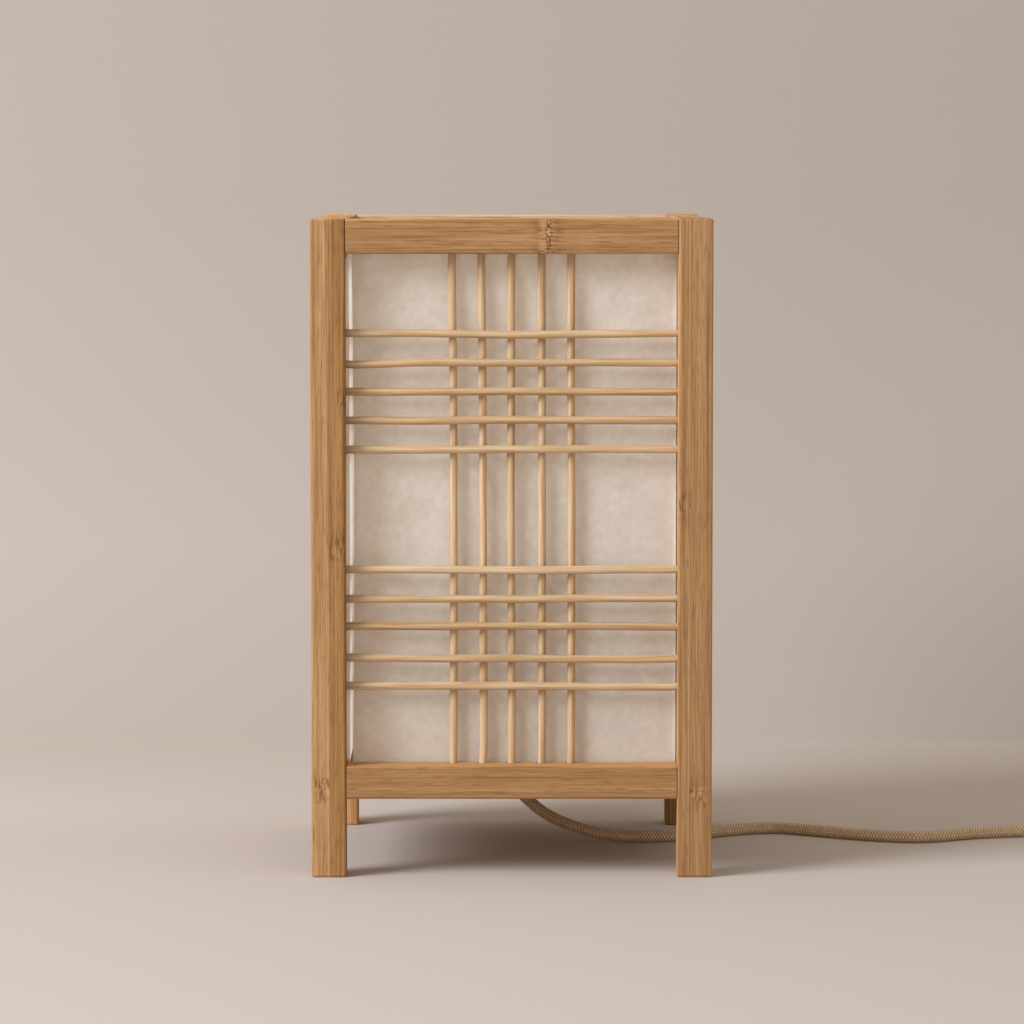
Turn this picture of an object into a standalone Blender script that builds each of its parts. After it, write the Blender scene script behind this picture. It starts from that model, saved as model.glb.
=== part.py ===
"""Square bamboo table lamp: a jointed frame with stick lattices over paper panels, its light and its cord.

Metres, +Z up. The lamp stands on z = 0 with its middle over the origin and its front towards -Y.
Its four sides are alike: each follows the one before it by a quarter turn about Z.
"""

from math import ceil, cos, pi, radians, sin, tau

import bmesh
import bpy
import numpy as np
from mathutils import Matrix, Vector

MM = 0.001

# Clearances
FIT_GAP = 0.3 * MM  # between pieces that are glued, seated or screwed together
CUT_OVERRUN = 1 * MM  # how far a cutter stands out of the face that it opens
WELD = 0.001 * MM  # points closer than this are one point

# Frame: posts and rails of laminated bamboo
LAMP_WIDTH = 200 * MM  # over the outer faces of the posts, both ways
LAMP_HEIGHT = 329 * MM
POST_SIDE = 17.2 * MM
RAIL_SETBACK = 0.5 * MM  # rail's outer face behind the post's
RAIL_PROUD = 0.3 * MM  # rail's inner face in front of the post's
TOP_RAIL_HEIGHT = 17.3 * MM
TOP_RAIL_DROP = 0.3 * MM  # top rail below the post tops
BOTTOM_RAIL_HEIGHT = 16.6 * MM
LEG_CLEARANCE = 39.4 * MM  # floor to the underside of the bottom rails
EDGE_ROUND = 1 * MM
TENON_THICKNESS = 5 * MM
TENON_SHOULDER = 3 * MM
MORTISE_WALL = 0.6 * MM  # wood left between two holes that meet inside a post

# Lattice: round bamboo sticks, the level ones in front
STICK_DIAMETER = 4.2 * MM
STICK_INSET = 1.3 * MM  # from the rail's inner face to the backs of the upright sticks
UPRIGHT_COUNT = 5
UPRIGHT_PITCH = 14.75 * MM
LEVEL_COUNT = 5  # in each of the two groups
LEVEL_PITCH = 14.6 * MM
GROUP_GAP = 60 * MM  # between the middles of the two groups' nearest sticks
RAIL_SOCKET_DEPTH = 3.5 * MM
GLUE_SINK = 0.1 * MM  # how far crossing sticks of a joined lattice sink into each other
SOCKET_PLAY = 0.2 * MM  # round a joined lattice's stick in its socket

# Paper panels, glued to the rails' inner faces
PAPER_THICKNESS = 0.6 * MM
PAPER_SLIT = 3 * MM  # open slit between a panel and the post at its left
PAPER_LAP = 7 * MM  # panel over the inner face of the top rail

# Base board, let into the bottom rails
BOARD_THICKNESS = 5 * MM
BOARD_DROP = 6.5 * MM  # from the top of the bottom rails to the board's top
GROOVE_DEPTH = 3.5 * MM

# Bulb with a 27 mm screw cap
CAP_RADIUS = 13.2 * MM
CAP_HEIGHT = 22 * MM
CAP_TAPER = 5 * MM  # height of the cap's tapered foot
FOOT_RADIUS = 4.8 * MM
FOOT_HEIGHT = 3 * MM
BULB_DIAMETER = 60 * MM
BULB_LENGTH = 105 * MM
GLASS_WALL = 0.8 * MM
NECK_LENGTH = 4 * MM

# Lampholder
FLANGE_HEIGHT = 8 * MM
FLANGE_RIM = 2 * MM  # flange outside the screw heads
WIRE_HOLE_RADIUS = 4 * MM
HOLDER_WALL = 4 * MM
HOLDER_FLOOR = 4 * MM
HOLDER_LIP = 1 * MM  # holder's mouth above the bulb's cap
MOUTH_ROUND = 1.5 * MM
THREAD_PLAY = 0.6 * MM  # between the cap and the sleeve
SLEEVE_WALL = 1 * MM
SLEEVE_HEIGHT = 27 * MM
CONTACT_RADIUS = 5 * MM
CONTACT_HEIGHT = 4 * MM

# Screws and nuts under the lampholder
SCREW_RADIUS = 2 * MM
SCREW_HEAD_RADIUS = 3.5 * MM
SCREW_HEAD_HEIGHT = 2.4 * MM
SCREW_TAIL = 0.7 * MM  # screw end below the nut
NUT_RADIUS = 4.04 * MM  # over the corners
NUT_HEIGHT = 3.2 * MM
HEAD_PLAY = 0.8 * MM  # between a screw head and the holder's wall

# Cord and the bushing that it comes out of
CORD_DIAMETER = 6 * MM
BUSHING_SLEEVE_RADIUS = 5 * MM
BUSHING_FLANGE_RADIUS = 7.5 * MM
BUSHING_FLANGE_HEIGHT = 1.8 * MM
BUSHING_NOSE_RADIUS = 4 * MM  # of its underside, round the cord
BUSHING_NOSE_HEIGHT = 0.6 * MM

# In-line switch
SWITCH_LENGTH = 78 * MM
SWITCH_WIDTH = 24 * MM
SWITCH_TAPER = 20 * MM  # length of the tapered cord relief at each end
SWITCH_NOSE = 10 * MM  # width and height of its end
SWITCH_LOWER_HEIGHT = 8.4 * MM
SWITCH_UPPER_HEIGHT = 8.3 * MM
SWITCH_EDGE = 3 * MM
SWITCH_POCKET = 4.4 * MM  # depth of the pocket under the rocker
ROCKER_LENGTH = 18 * MM
ROCKER_WIDTH = 11 * MM
ROCKER_TILT = radians(7)
ROCKER_TOP = 4.4 * MM  # middle of the rocker's face over its pivot
ROCKER_BELLY = 5 * MM  # radius of its round underside
ROCKER_PLAY = 0.5 * MM
PIVOT_DEPTH = 4.6 * MM  # pivot below the switch's top
PIVOT_RADIUS = 1.5 * MM
PIVOT_STUB = 1.2 * MM
SWITCH_SCREW_RADIUS = 1.3 * MM
SWITCH_SCREW_HEAD_RADIUS = 2.6 * MM
SWITCH_SCREW_HEAD_HEIGHT = 1.6 * MM
SWITCH_SCREW_LENGTH = 12 * MM
SWITCH_SCREW_SPREAD = 34 * MM

# Coil of spare cord and its tie
COIL_INNER_RADIUS = 24 * MM  # of the innermost loop's centre line
COIL_TURNS = 6.25
COIL_GAP = 0.7 * MM  # between loops side by side and layer on layer
COIL_REVERSAL = 0.1  # turns over which the spiral eases from inwards to outwards
COIL_CLIMB = 0.5  # turns over which it climbs to the upper layer
POINTS_PER_TURN = 24
COIL_RUN_IN = 40 * MM  # from the switch to where the coil begins
COIL_RUN_OUT = 42 * MM  # from where the coil ends to the plug
RUN_SHARES = (0.3, 0.45, 0.6, 0.75, 0.9, 1)  # where points lie along these two runs, past their straight ends
TIE_WIDTH = 10 * MM
TIE_THICKNESS = 0.8 * MM
TIE_SIDE_PLAY = 1 * MM
TIE_ROUND = 2.5 * MM

# Flat two-pin plug
PLUG_WIDTH = 35 * MM
PLUG_TAIL_WIDTH = 12 * MM
PLUG_THICKNESS = 13.7 * MM
PLUG_LENGTH = 36 * MM
PLUG_SHOULDER = 14 * MM  # length of the full-width front
PLUG_EDGE = 2.5 * MM
PIN_RADIUS = 2 * MM
PIN_LENGTH = 19 * MM  # standing out of the plug
PIN_SEAT = 5 * MM  # inside the plug
PIN_SPACING = 18.6 * MM

# Facets
STICK_SIDES = 12
LATTICE_SIDES = 8
TURN_STEPS = 24
SMALL_STEPS = 12
GLASS_STEPS = 6
BELLY_STEPS = 6
EDGE_STEPS = 3
ROUND_SEGMENTS = 2

# Frame places worked out from the sizes above
HALF = LAMP_WIDTH / 2
POST_INNER = HALF - POST_SIDE
RAIL_OUTER = HALF - RAIL_SETBACK
RAIL_INNER = POST_INNER - RAIL_PROUD
RAIL_MIDDLE = (RAIL_OUTER + RAIL_INNER) / 2
RAIL_END = POST_INNER - FIT_GAP
MORTISE_END = RAIL_MIDDLE - TENON_THICKNESS / 2 - FIT_GAP - MORTISE_WALL
BOTTOM_RAIL_TOP = LEG_CLEARANCE + BOTTOM_RAIL_HEIGHT
TOP_RAIL_TOP = LAMP_HEIGHT - TOP_RAIL_DROP
TOP_RAIL_UNDER = TOP_RAIL_TOP - TOP_RAIL_HEIGHT
RAIL_SPANS = ((LEG_CLEARANCE, BOTTOM_RAIL_TOP), (TOP_RAIL_UNDER, TOP_RAIL_TOP))

# Lattice places
STICK_RADIUS = STICK_DIAMETER / 2
LATTICE_LEAN = (FIT_GAP + GLUE_SINK) / 2  # how far a joined lattice's sticks move to meet each other
SOCKET_RADIUS = (STICK_RADIUS + LATTICE_LEAN + SOCKET_PLAY) / cos(pi / LATTICE_SIDES)
UPRIGHT_AXIS = RAIL_INNER + STICK_INSET + STICK_RADIUS
LEVEL_AXIS = UPRIGHT_AXIS + STICK_DIAMETER + FIT_GAP
POST_SOCKET_END = LEVEL_AXIS - SOCKET_RADIUS - MORTISE_WALL
LEVEL_HALF = POST_SOCKET_END - FIT_GAP
UPRIGHT_LOW = BOTTOM_RAIL_TOP - RAIL_SOCKET_DEPTH + FIT_GAP
UPRIGHT_HIGH = TOP_RAIL_UNDER + RAIL_SOCKET_DEPTH - FIT_GAP
OPENING_MIDDLE = (BOTTOM_RAIL_TOP + TOP_RAIL_UNDER) / 2
UPRIGHT_PLACES = [(i - (UPRIGHT_COUNT - 1) / 2) * UPRIGHT_PITCH for i in range(UPRIGHT_COUNT)]
GROUP_STEPS = [GROUP_GAP / 2 + i * LEVEL_PITCH for i in range(LEVEL_COUNT)]
LEVEL_PLACES = [OPENING_MIDDLE - step for step in reversed(GROUP_STEPS)]
LEVEL_PLACES += [OPENING_MIDDLE + step for step in GROUP_STEPS]

# Board, lampholder and bulb places, from the bottom up
BOARD_TOP = BOTTOM_RAIL_TOP - BOARD_DROP
BOARD_UNDER = BOARD_TOP - BOARD_THICKNESS
FLANGE_UNDER = BOARD_TOP + FIT_GAP
FLANGE_TOP = FLANGE_UNDER + FLANGE_HEIGHT
HOLDER_UNDER = FLANGE_TOP + FIT_GAP
HOLDER_SEAT = HOLDER_UNDER + HOLDER_FLOOR + FIT_GAP
BULB_UNDER = HOLDER_SEAT + CONTACT_HEIGHT + FIT_GAP
CAP_UNDER = FOOT_HEIGHT + FIT_GAP  # over the bulb's underside, as are the next two
CAP_TOP = CAP_UNDER + CAP_HEIGHT
GLASS_UNDER = CAP_TOP + FIT_GAP
HOLDER_TOP = BULB_UNDER + CAP_TOP + HOLDER_LIP
SLEEVE_INNER = CAP_RADIUS + THREAD_PLAY
SLEEVE_OUTER = SLEEVE_INNER + SLEEVE_WALL
HOLDER_INNER = SLEEVE_OUTER + FIT_GAP
HOLDER_OUTER = HOLDER_INNER + HOLDER_WALL
SCREW_PLACE = HOLDER_OUTER + HEAD_PLAY + SCREW_HEAD_RADIUS
FLANGE_RADIUS = SCREW_PLACE + SCREW_HEAD_RADIUS + FLANGE_RIM
NUT_TOP = BOARD_UNDER - FIT_GAP
BUSHING_UNDER = BOARD_UNDER - FIT_GAP - BUSHING_FLANGE_HEIGHT

# Cord route: where it hangs from the bushing (x, y and the share of the drop), then along the floor
CORD_RADIUS = CORD_DIAMETER / 2
CORD_START = BUSHING_UNDER - FIT_GAP
HANGING = (
    (0, 0, 1),
    (0, 0, 0.847),
    (1.3 * MM, 0.3 * MM, 0.79),
    (4 * MM, 1 * MM, 0.69),
    (8.6 * MM, 2 * MM, 0.565),
    (17 * MM, 4 * MM, 0.383),
    (27.5 * MM, 7.5 * MM, 0.235),
    (43 * MM, 12 * MM, 0.09),
    (57 * MM, 16.5 * MM, 0.025),
)
ON_FLOOR = (
    (72.7 * MM, 20 * MM),
    (84.4 * MM, 22.8 * MM),
    (95.2 * MM, 29 * MM),
    (106.1 * MM, 36.8 * MM),
    (121.4 * MM, 46 * MM),
    (133.5 * MM, 51 * MM),
    (146 * MM, 50.5 * MM),
    (165.7 * MM, 38.6 * MM),
    (186.5 * MM, 26.2 * MM),
    (208 * MM, 18.4 * MM),
    (222 * MM, 20 * MM),
    (242 * MM, 31 * MM),
    (257 * MM, 36.6 * MM),
    (272 * MM, 39.7 * MM),
)
SWITCH_START = Vector((300 * MM, 43 * MM, 0))
RISE_TO_SWITCH = (282 * MM, 41.7 * MM, 0.4)  # x, y and the share of the rise to the switch's middle

# Switch, coil and plug places
SWITCH_MIDDLE = SWITCH_START + Vector((SWITCH_LENGTH / 2, 0, 0))
SWITCH_SEAM = SWITCH_LOWER_HEIGHT + FIT_GAP
SWITCH_TOP = SWITCH_SEAM + SWITCH_UPPER_HEIGHT
SWITCH_AXIS = SWITCH_TOP / 2
PIVOT_HEIGHT = SWITCH_TOP - PIVOT_DEPTH
ROCKER_REACH = ROCKER_LENGTH / 2 + (ROCKER_TOP + ROCKER_LENGTH / 2 * sin(ROCKER_TILT)) * sin(ROCKER_TILT)
WINDOW_LENGTH = 2 * (ROCKER_REACH + ROCKER_PLAY)
WINDOW_WIDTH = ROCKER_WIDTH + 2 * ROCKER_PLAY
COIL_PITCH = CORD_DIAMETER + COIL_GAP
COIL_LOW = CORD_RADIUS + TIE_THICKNESS + 2 * FIT_GAP  # height of the lower layer's centre line
COIL_START = SWITCH_START.x + SWITCH_LENGTH + COIL_RUN_IN
PLUG_AXIS = PLUG_THICKNESS / 2


def srgb(red, green, blue):
    """Linear colour with alpha from an 8-bit sRGB one."""
    shares = [value / 255 for value in (red, green, blue)]
    return *(s / 12.92 if s <= 0.04045 else ((s + 0.055) / 1.055) ** 2.4 for s in shares), 1.0


def finish(name, colour, roughness, metallic=0.0):
    """A Principled material."""
    surface = bpy.data.materials.new(name)
    surface.use_nodes = True
    shader = surface.node_tree.nodes["Principled BSDF"]
    shader.inputs["Base Color"].default_value = srgb(*colour)
    shader.inputs["Roughness"].default_value = roughness
    shader.inputs["Metallic"].default_value = metallic
    return surface


def to_mesh(bm, name):
    """The bmesh as a mesh with outward faces and smooth round surfaces."""
    bmesh.ops.recalc_face_normals(bm, faces=bm.faces[:])
    mesh = bpy.data.meshes.new(name)
    bm.to_mesh(mesh)
    bm.free()
    mesh.shade_smooth()
    mesh.set_sharp_from_angle(angle=radians(35))
    return mesh


def add_box(bm, low, high):
    """Adds a box between two corners and returns its points."""
    low, high = Vector(low), Vector(high)
    shape = Matrix.Translation((low + high) / 2) @ Matrix.Diagonal((*(high - low), 1))
    return bmesh.ops.create_cube(bm, size=1, matrix=shape)["verts"]


def add_rod(bm, start, end, radius, sides):
    """Adds a prism along a line, with flats that face along the axes where sides is 4, 8 or 12."""
    start, end = Vector(start), Vector(end)
    along = Vector((0, 0, 1)).rotation_difference(end - start).to_matrix().to_4x4()
    shape = Matrix.Translation((start + end) / 2) @ along @ Matrix.Rotation(pi / sides, 4, "Z")
    bmesh.ops.create_cone(
        bm,
        cap_ends=True,
        segments=sides,
        radius1=radius,
        radius2=radius,
        depth=(end - start).length,
        matrix=shape,
    )


def round_edges(bm, edges, radius, segments=ROUND_SEGMENTS):
    """Rounds edges with a bevel."""
    bmesh.ops.bevel(bm, geom=edges, offset=radius, segments=segments, affect="EDGES", profile=0.5)


def edges_along(bm, axis):
    """Edges that run along X, Y or Z, given as 0, 1 or 2."""
    return [e for e in bm.edges if abs((e.verts[1].co - e.verts[0].co).normalized()[axis]) > 0.999]


def combine(mesh, bm, operation):
    """The mesh with the solids in bm cut from it (DIFFERENCE) or joined to it (UNION)."""
    body = bpy.data.objects.new("body", mesh)
    tool = bpy.data.objects.new("tool", to_mesh(bm, "tool"))
    for thing in (body, tool):
        bpy.context.collection.objects.link(thing)
    step = body.modifiers.new("combine", "BOOLEAN")
    step.operation = operation
    step.object = tool
    result = bpy.data.meshes.new_from_object(body.evaluated_get(bpy.context.evaluated_depsgraph_get()))
    for thing in (body, tool):
        bpy.data.objects.remove(thing)
    result.shade_smooth()
    result.set_sharp_from_angle(angle=radians(35))
    return result


def turned(name, profile, steps=TURN_STEPS, ring=False):
    """A mesh turned about Z from (radius, height) points, from axis to axis or as a closed ring."""
    bm = bmesh.new()
    line = [bm.verts.new((radius, 0, height)) for radius, height in profile]
    pairs = list(zip(line, line[1:]))
    if ring:
        pairs.append((line[-1], line[0]))
    edges = [bm.edges.new(pair) for pair in pairs]
    bmesh.ops.spin(bm, geom=line + edges, axis=(0, 0, 1), cent=(0, 0, 0), angle=tau, steps=steps)
    bmesh.ops.remove_doubles(bm, verts=bm.verts[:], dist=WELD)
    return to_mesh(bm, name)


def empty(name, location=(0, 0, 0), parent=None):
    """A parent for pieces that belong together."""
    frame = bpy.data.objects.new(name, None)
    bpy.context.collection.objects.link(frame)
    frame.location = location
    frame.parent = parent
    return frame


def place(name, shape, surface, parent, location=(0, 0, 0), rotation=(0, 0, 0)):
    """One named piece, from a mesh or a curve."""
    piece = bpy.data.objects.new(name, shape)
    bpy.context.collection.objects.link(piece)
    if not shape.materials:
        shape.materials.append(surface)
    piece.parent = parent
    piece.location = location
    piece.rotation_euler = rotation
    return piece


def post_mesh():
    """The front left post, with mortises and stick sockets in its two inner faces."""
    bm = bmesh.new()
    add_box(bm, (-HALF, -HALF, 0), (-POST_INNER, -POST_INNER, LAMP_HEIGHT))
    round_edges(bm, bm.edges[:], EDGE_ROUND)
    holes = bmesh.new()
    near = CUT_OVERRUN - POST_INNER
    half = TENON_THICKNESS / 2 + FIT_GAP
    for under, top in RAIL_SPANS:
        low = under + TENON_SHOULDER - FIT_GAP
        high = top - TENON_SHOULDER + FIT_GAP
        add_box(holes, (-MORTISE_END, -RAIL_MIDDLE - half, low), (near, -RAIL_MIDDLE + half, high))
        add_box(holes, (-RAIL_MIDDLE - half, -MORTISE_END, low), (-RAIL_MIDDLE + half, near, high))
    for height in LEVEL_PLACES:
        ends = (-POST_SOCKET_END, near)
        add_rod(holes, *[(x, -LEVEL_AXIS, height) for x in ends], SOCKET_RADIUS, LATTICE_SIDES)
        add_rod(holes, *[(-LEVEL_AXIS, y, height) for y in ends], SOCKET_RADIUS, LATTICE_SIDES)
    return combine(to_mesh(bm, "post"), holes, "DIFFERENCE")


def rail_mesh(under, top, socket_face, socket_end):
    """A front rail with a stub tenon at each end and sockets for the upright sticks."""
    bm = bmesh.new()
    add_box(bm, (-RAIL_END, -RAIL_OUTER, under), (RAIL_END, -RAIL_INNER, top))
    round_edges(bm, edges_along(bm, 0), EDGE_ROUND)
    tenon = bmesh.new()
    tip = MORTISE_END - FIT_GAP
    half = TENON_THICKNESS / 2
    low = (-tip, -RAIL_MIDDLE - half, under + TENON_SHOULDER)
    high = (tip, -RAIL_MIDDLE + half, top - TENON_SHOULDER)
    add_box(tenon, low, high)
    mesh = combine(to_mesh(bm, "rail"), tenon, "UNION")
    holes = bmesh.new()
    for x in UPRIGHT_PLACES:
        ends = (socket_face, socket_end)
        add_rod(holes, *[(x, -UPRIGHT_AXIS, z) for z in ends], SOCKET_RADIUS, LATTICE_SIDES)
    return combine(mesh, holes, "DIFFERENCE")


def bottom_rail_mesh():
    """The front bottom rail, with sockets in its top and a groove for the base board."""
    socket_end = BOTTOM_RAIL_TOP - RAIL_SOCKET_DEPTH
    mesh = rail_mesh(LEG_CLEARANCE, BOTTOM_RAIL_TOP, BOTTOM_RAIL_TOP + CUT_OVERRUN, socket_end)
    groove = bmesh.new()
    reach = RAIL_END + CUT_OVERRUN
    low = (-reach, -RAIL_INNER - GROOVE_DEPTH, BOARD_UNDER - FIT_GAP)
    high = (reach, -RAIL_INNER + CUT_OVERRUN, BOARD_TOP + FIT_GAP)
    add_box(groove, low, high)
    return combine(mesh, groove, "DIFFERENCE")


def top_rail_mesh():
    """The front top rail, with sockets in its underside."""
    socket_end = TOP_RAIL_UNDER + RAIL_SOCKET_DEPTH
    return rail_mesh(TOP_RAIL_UNDER, TOP_RAIL_TOP, TOP_RAIL_UNDER - CUT_OVERRUN, socket_end)


def stick_mesh(name, start, end):
    """One round stick."""
    bm = bmesh.new()
    add_rod(bm, start, end, STICK_RADIUS, STICK_SIDES)
    return to_mesh(bm, name)


def lattice_mesh():
    """A whole front lattice as one glued piece, its sticks sunk a little into each other."""
    radius = STICK_RADIUS / cos(pi / LATTICE_SIDES)
    upright_axis = UPRIGHT_AXIS + LATTICE_LEAN
    level_axis = LEVEL_AXIS - LATTICE_LEAN
    uprights = bmesh.new()
    for x in UPRIGHT_PLACES:
        ends = (UPRIGHT_LOW, UPRIGHT_HIGH)
        add_rod(uprights, *[(x, -upright_axis, z) for z in ends], radius, LATTICE_SIDES)
    levels = bmesh.new()
    for z in LEVEL_PLACES:
        ends = (-LEVEL_HALF, LEVEL_HALF)
        add_rod(levels, *[(x, -level_axis, z) for x in ends], radius, LATTICE_SIDES)
    return combine(to_mesh(uprights, "lattice"), levels, "UNION")


def paper_mesh():
    """The front panel. Its right edge meets the next panel, and its left edge leaves a slit."""
    bm = bmesh.new()
    outer = RAIL_INNER - FIT_GAP
    inner = outer - PAPER_THICKNESS
    low = (PAPER_SLIT - POST_INNER, -outer, BOARD_TOP + FIT_GAP)
    high = (inner - FIT_GAP, -inner, TOP_RAIL_UNDER + PAPER_LAP)
    add_box(bm, low, high)
    return to_mesh(bm, "paper")


def build_frame(lamp):
    """Posts, rails, papers and lattices, each side a quarter turn after the front."""
    bamboo = finish("laminated_bamboo", (190, 146, 98), 0.5)
    split = finish("split_bamboo", (214, 184, 146), 0.55)
    paper = finish("mulberry_paper", (226, 212, 194), 0.9)
    sides = ("front", "right", "rear", "left")
    corners = ("front_left", "front_right", "rear_right", "rear_left")
    post, top_rail, bottom_rail = post_mesh(), top_rail_mesh(), bottom_rail_mesh()
    panel, lattice = paper_mesh(), lattice_mesh()
    for step, (side, corner) in enumerate(zip(sides, corners)):
        turn = (0, 0, step * pi / 2)
        place(f"post_{corner}", post, bamboo, lamp, rotation=turn)
        place(f"top_rail_{side}", top_rail, bamboo, lamp, rotation=turn)
        place(f"bottom_rail_{side}", bottom_rail, bamboo, lamp, rotation=turn)
        place(f"paper_panel_{side}", panel, paper, lamp, rotation=turn)
        if side != "front":
            place(f"lattice_{side}", lattice, split, lamp, rotation=turn)
    upright = stick_mesh("upright_stick", (0, 0, UPRIGHT_LOW), (0, 0, UPRIGHT_HIGH))
    for i, x in enumerate(UPRIGHT_PLACES, 1):
        place(f"upright_stick_{i}", upright, split, lamp, (x, -UPRIGHT_AXIS, 0))
    level = stick_mesh("level_stick", (-LEVEL_HALF, 0, 0), (LEVEL_HALF, 0, 0))
    for i, z in enumerate(LEVEL_PLACES, 1):
        place(f"level_stick_{i:02}", level, split, lamp, (0, -LEVEL_AXIS, z))


def board_mesh():
    """The base board: a tongue in each rail's groove, corners cut out for the posts, and its holes."""
    tongue = RAIL_INNER + GROOVE_DEPTH - FIT_GAP
    notch = POST_INNER - FIT_GAP
    quarter = [(notch, -tongue), (notch, -notch), (tongue, -notch)]
    bm = bmesh.new()
    outline = []
    for step in range(4):
        turn = Matrix.Rotation(step * pi / 2, 3, "Z")
        outline += [bm.verts.new(turn @ Vector((x, y, BOARD_UNDER))) for x, y in quarter]
    face = bm.faces.new(outline)
    raised = bmesh.ops.extrude_face_region(bm, geom=[face])["geom"]
    lift = [v for v in raised if isinstance(v, bmesh.types.BMVert)]
    bmesh.ops.translate(bm, verts=lift, vec=(0, 0, BOARD_THICKNESS))
    holes = bmesh.new()
    heights = (BOARD_UNDER - CUT_OVERRUN, BOARD_TOP + CUT_OVERRUN)
    add_rod(holes, *[(0, 0, z) for z in heights], BUSHING_SLEEVE_RADIUS + FIT_GAP, TURN_STEPS)
    for x in (-SCREW_PLACE, SCREW_PLACE):
        add_rod(holes, *[(x, 0, z) for z in heights], SCREW_RADIUS + FIT_GAP, SMALL_STEPS)
    return combine(to_mesh(bm, "base_board"), holes, "DIFFERENCE")


def flange_mesh():
    """The lampholder's round foot, with its wire hole and two screw holes."""
    profile = [
        (WIRE_HOLE_RADIUS, FLANGE_UNDER),
        (FLANGE_RADIUS, FLANGE_UNDER),
        (FLANGE_RADIUS, FLANGE_TOP - MOUTH_ROUND),
        (FLANGE_RADIUS - MOUTH_ROUND, FLANGE_TOP),
        (WIRE_HOLE_RADIUS, FLANGE_TOP),
    ]
    holes = bmesh.new()
    heights = (FLANGE_UNDER - CUT_OVERRUN, FLANGE_TOP + CUT_OVERRUN)
    for x in (-SCREW_PLACE, SCREW_PLACE):
        add_rod(holes, *[(x, 0, z) for z in heights], SCREW_RADIUS + FIT_GAP, SMALL_STEPS)
    return combine(turned("lampholder_flange", profile, ring=True), holes, "DIFFERENCE")


def holder_mesh():
    """The lampholder's cup, with a rounded mouth."""
    floor = HOLDER_UNDER + HOLDER_FLOOR
    profile = [
        (0, HOLDER_UNDER),
        (HOLDER_OUTER, HOLDER_UNDER),
        (HOLDER_OUTER, HOLDER_TOP - MOUTH_ROUND),
        (HOLDER_OUTER - MOUTH_ROUND, HOLDER_TOP),
        (HOLDER_INNER, HOLDER_TOP),
        (HOLDER_INNER, floor),
        (0, floor),
    ]
    return turned("lampholder_body", profile)


def sleeve_mesh():
    """The brass sleeve that carries the thread, standing in the cup."""
    top = HOLDER_SEAT + SLEEVE_HEIGHT
    outer = [(SLEEVE_OUTER, HOLDER_SEAT), (SLEEVE_OUTER, top)]
    inner = [(SLEEVE_INNER, top), (SLEEVE_INNER, HOLDER_SEAT)]
    return turned("thread_sleeve", outer + inner, ring=True)


def contact_mesh():
    """The sprung centre contact, as a low domed button."""
    shoulder = HOLDER_SEAT + CONTACT_HEIGHT / 2
    top = HOLDER_SEAT + CONTACT_HEIGHT
    profile = [(0, HOLDER_SEAT), (CONTACT_RADIUS, HOLDER_SEAT), (CONTACT_RADIUS, shoulder)]
    return turned("centre_contact", profile + [(CONTACT_RADIUS / 2, top), (0, top)], SMALL_STEPS)


def screw_mesh(name, radius, head_radius, head_height, length):
    """A pan-head screw, pointing down from the underside of its head at height 0."""
    edge = head_height / 3
    profile = [
        (0, -length),
        (radius, -length),
        (radius, 0),
        (head_radius, 0),
        (head_radius, head_height - edge),
        (head_radius - edge, head_height),
        (0, head_height),
    ]
    return turned(name, profile, SMALL_STEPS)


def nut_mesh():
    """A hexagon nut, its top at height 0."""
    bm = bmesh.new()
    add_rod(bm, (0, 0, -NUT_HEIGHT), (0, 0, 0), NUT_RADIUS, 6)
    bore = bmesh.new()
    ends = (-NUT_HEIGHT - CUT_OVERRUN, CUT_OVERRUN)
    add_rod(bore, *[(0, 0, z) for z in ends], SCREW_RADIUS + FIT_GAP, SMALL_STEPS)
    return combine(to_mesh(bm, "nut"), bore, "DIFFERENCE")


def bushing_mesh():
    """The cord bushing: a flange under the board and a sleeve through it."""
    flange_top = BUSHING_UNDER + BUSHING_FLANGE_HEIGHT
    profile = [
        (0, BUSHING_UNDER),
        (BUSHING_NOSE_RADIUS, BUSHING_UNDER),
        (BUSHING_FLANGE_RADIUS, BUSHING_UNDER + BUSHING_NOSE_HEIGHT),
        (BUSHING_FLANGE_RADIUS, flange_top),
        (BUSHING_SLEEVE_RADIUS, flange_top),
        (BUSHING_SLEEVE_RADIUS, BOARD_TOP),
        (0, BOARD_TOP),
    ]
    return turned("cord_bushing", profile)


def build_lampholder(lamp):
    """Base board, lampholder with its screws and nuts, and the cord bushing."""
    board = finish("base_board_bamboo", (186, 148, 104), 0.6)
    phenolic = finish("black_phenolic", (28, 26, 25), 0.4)
    brass = finish("brass", (196, 160, 92), 0.3, 1.0)
    steel = finish("zinc_steel", (176, 178, 180), 0.35, 1.0)
    rubber = finish("black_rubber", (22, 22, 22), 0.7)
    place("base_board", board_mesh(), board, lamp)
    place("lampholder_flange", flange_mesh(), phenolic, lamp)
    place("lampholder_body", holder_mesh(), phenolic, lamp)
    place("thread_sleeve", sleeve_mesh(), brass, lamp)
    place("centre_contact", contact_mesh(), brass, lamp)
    place("cord_bushing", bushing_mesh(), rubber, lamp)
    head_under = FLANGE_TOP + FIT_GAP
    length = head_under - NUT_TOP + NUT_HEIGHT + SCREW_TAIL
    screw = screw_mesh("holder_screw", SCREW_RADIUS, SCREW_HEAD_RADIUS, SCREW_HEAD_HEIGHT, length)
    nut = nut_mesh()
    for i, x in enumerate((-SCREW_PLACE, SCREW_PLACE), 1):
        place(f"holder_screw_{i}", screw, steel, lamp, (x, 0, head_under))
        place(f"holder_nut_{i}", nut, steel, lamp, (x, 0, NUT_TOP))


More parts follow.
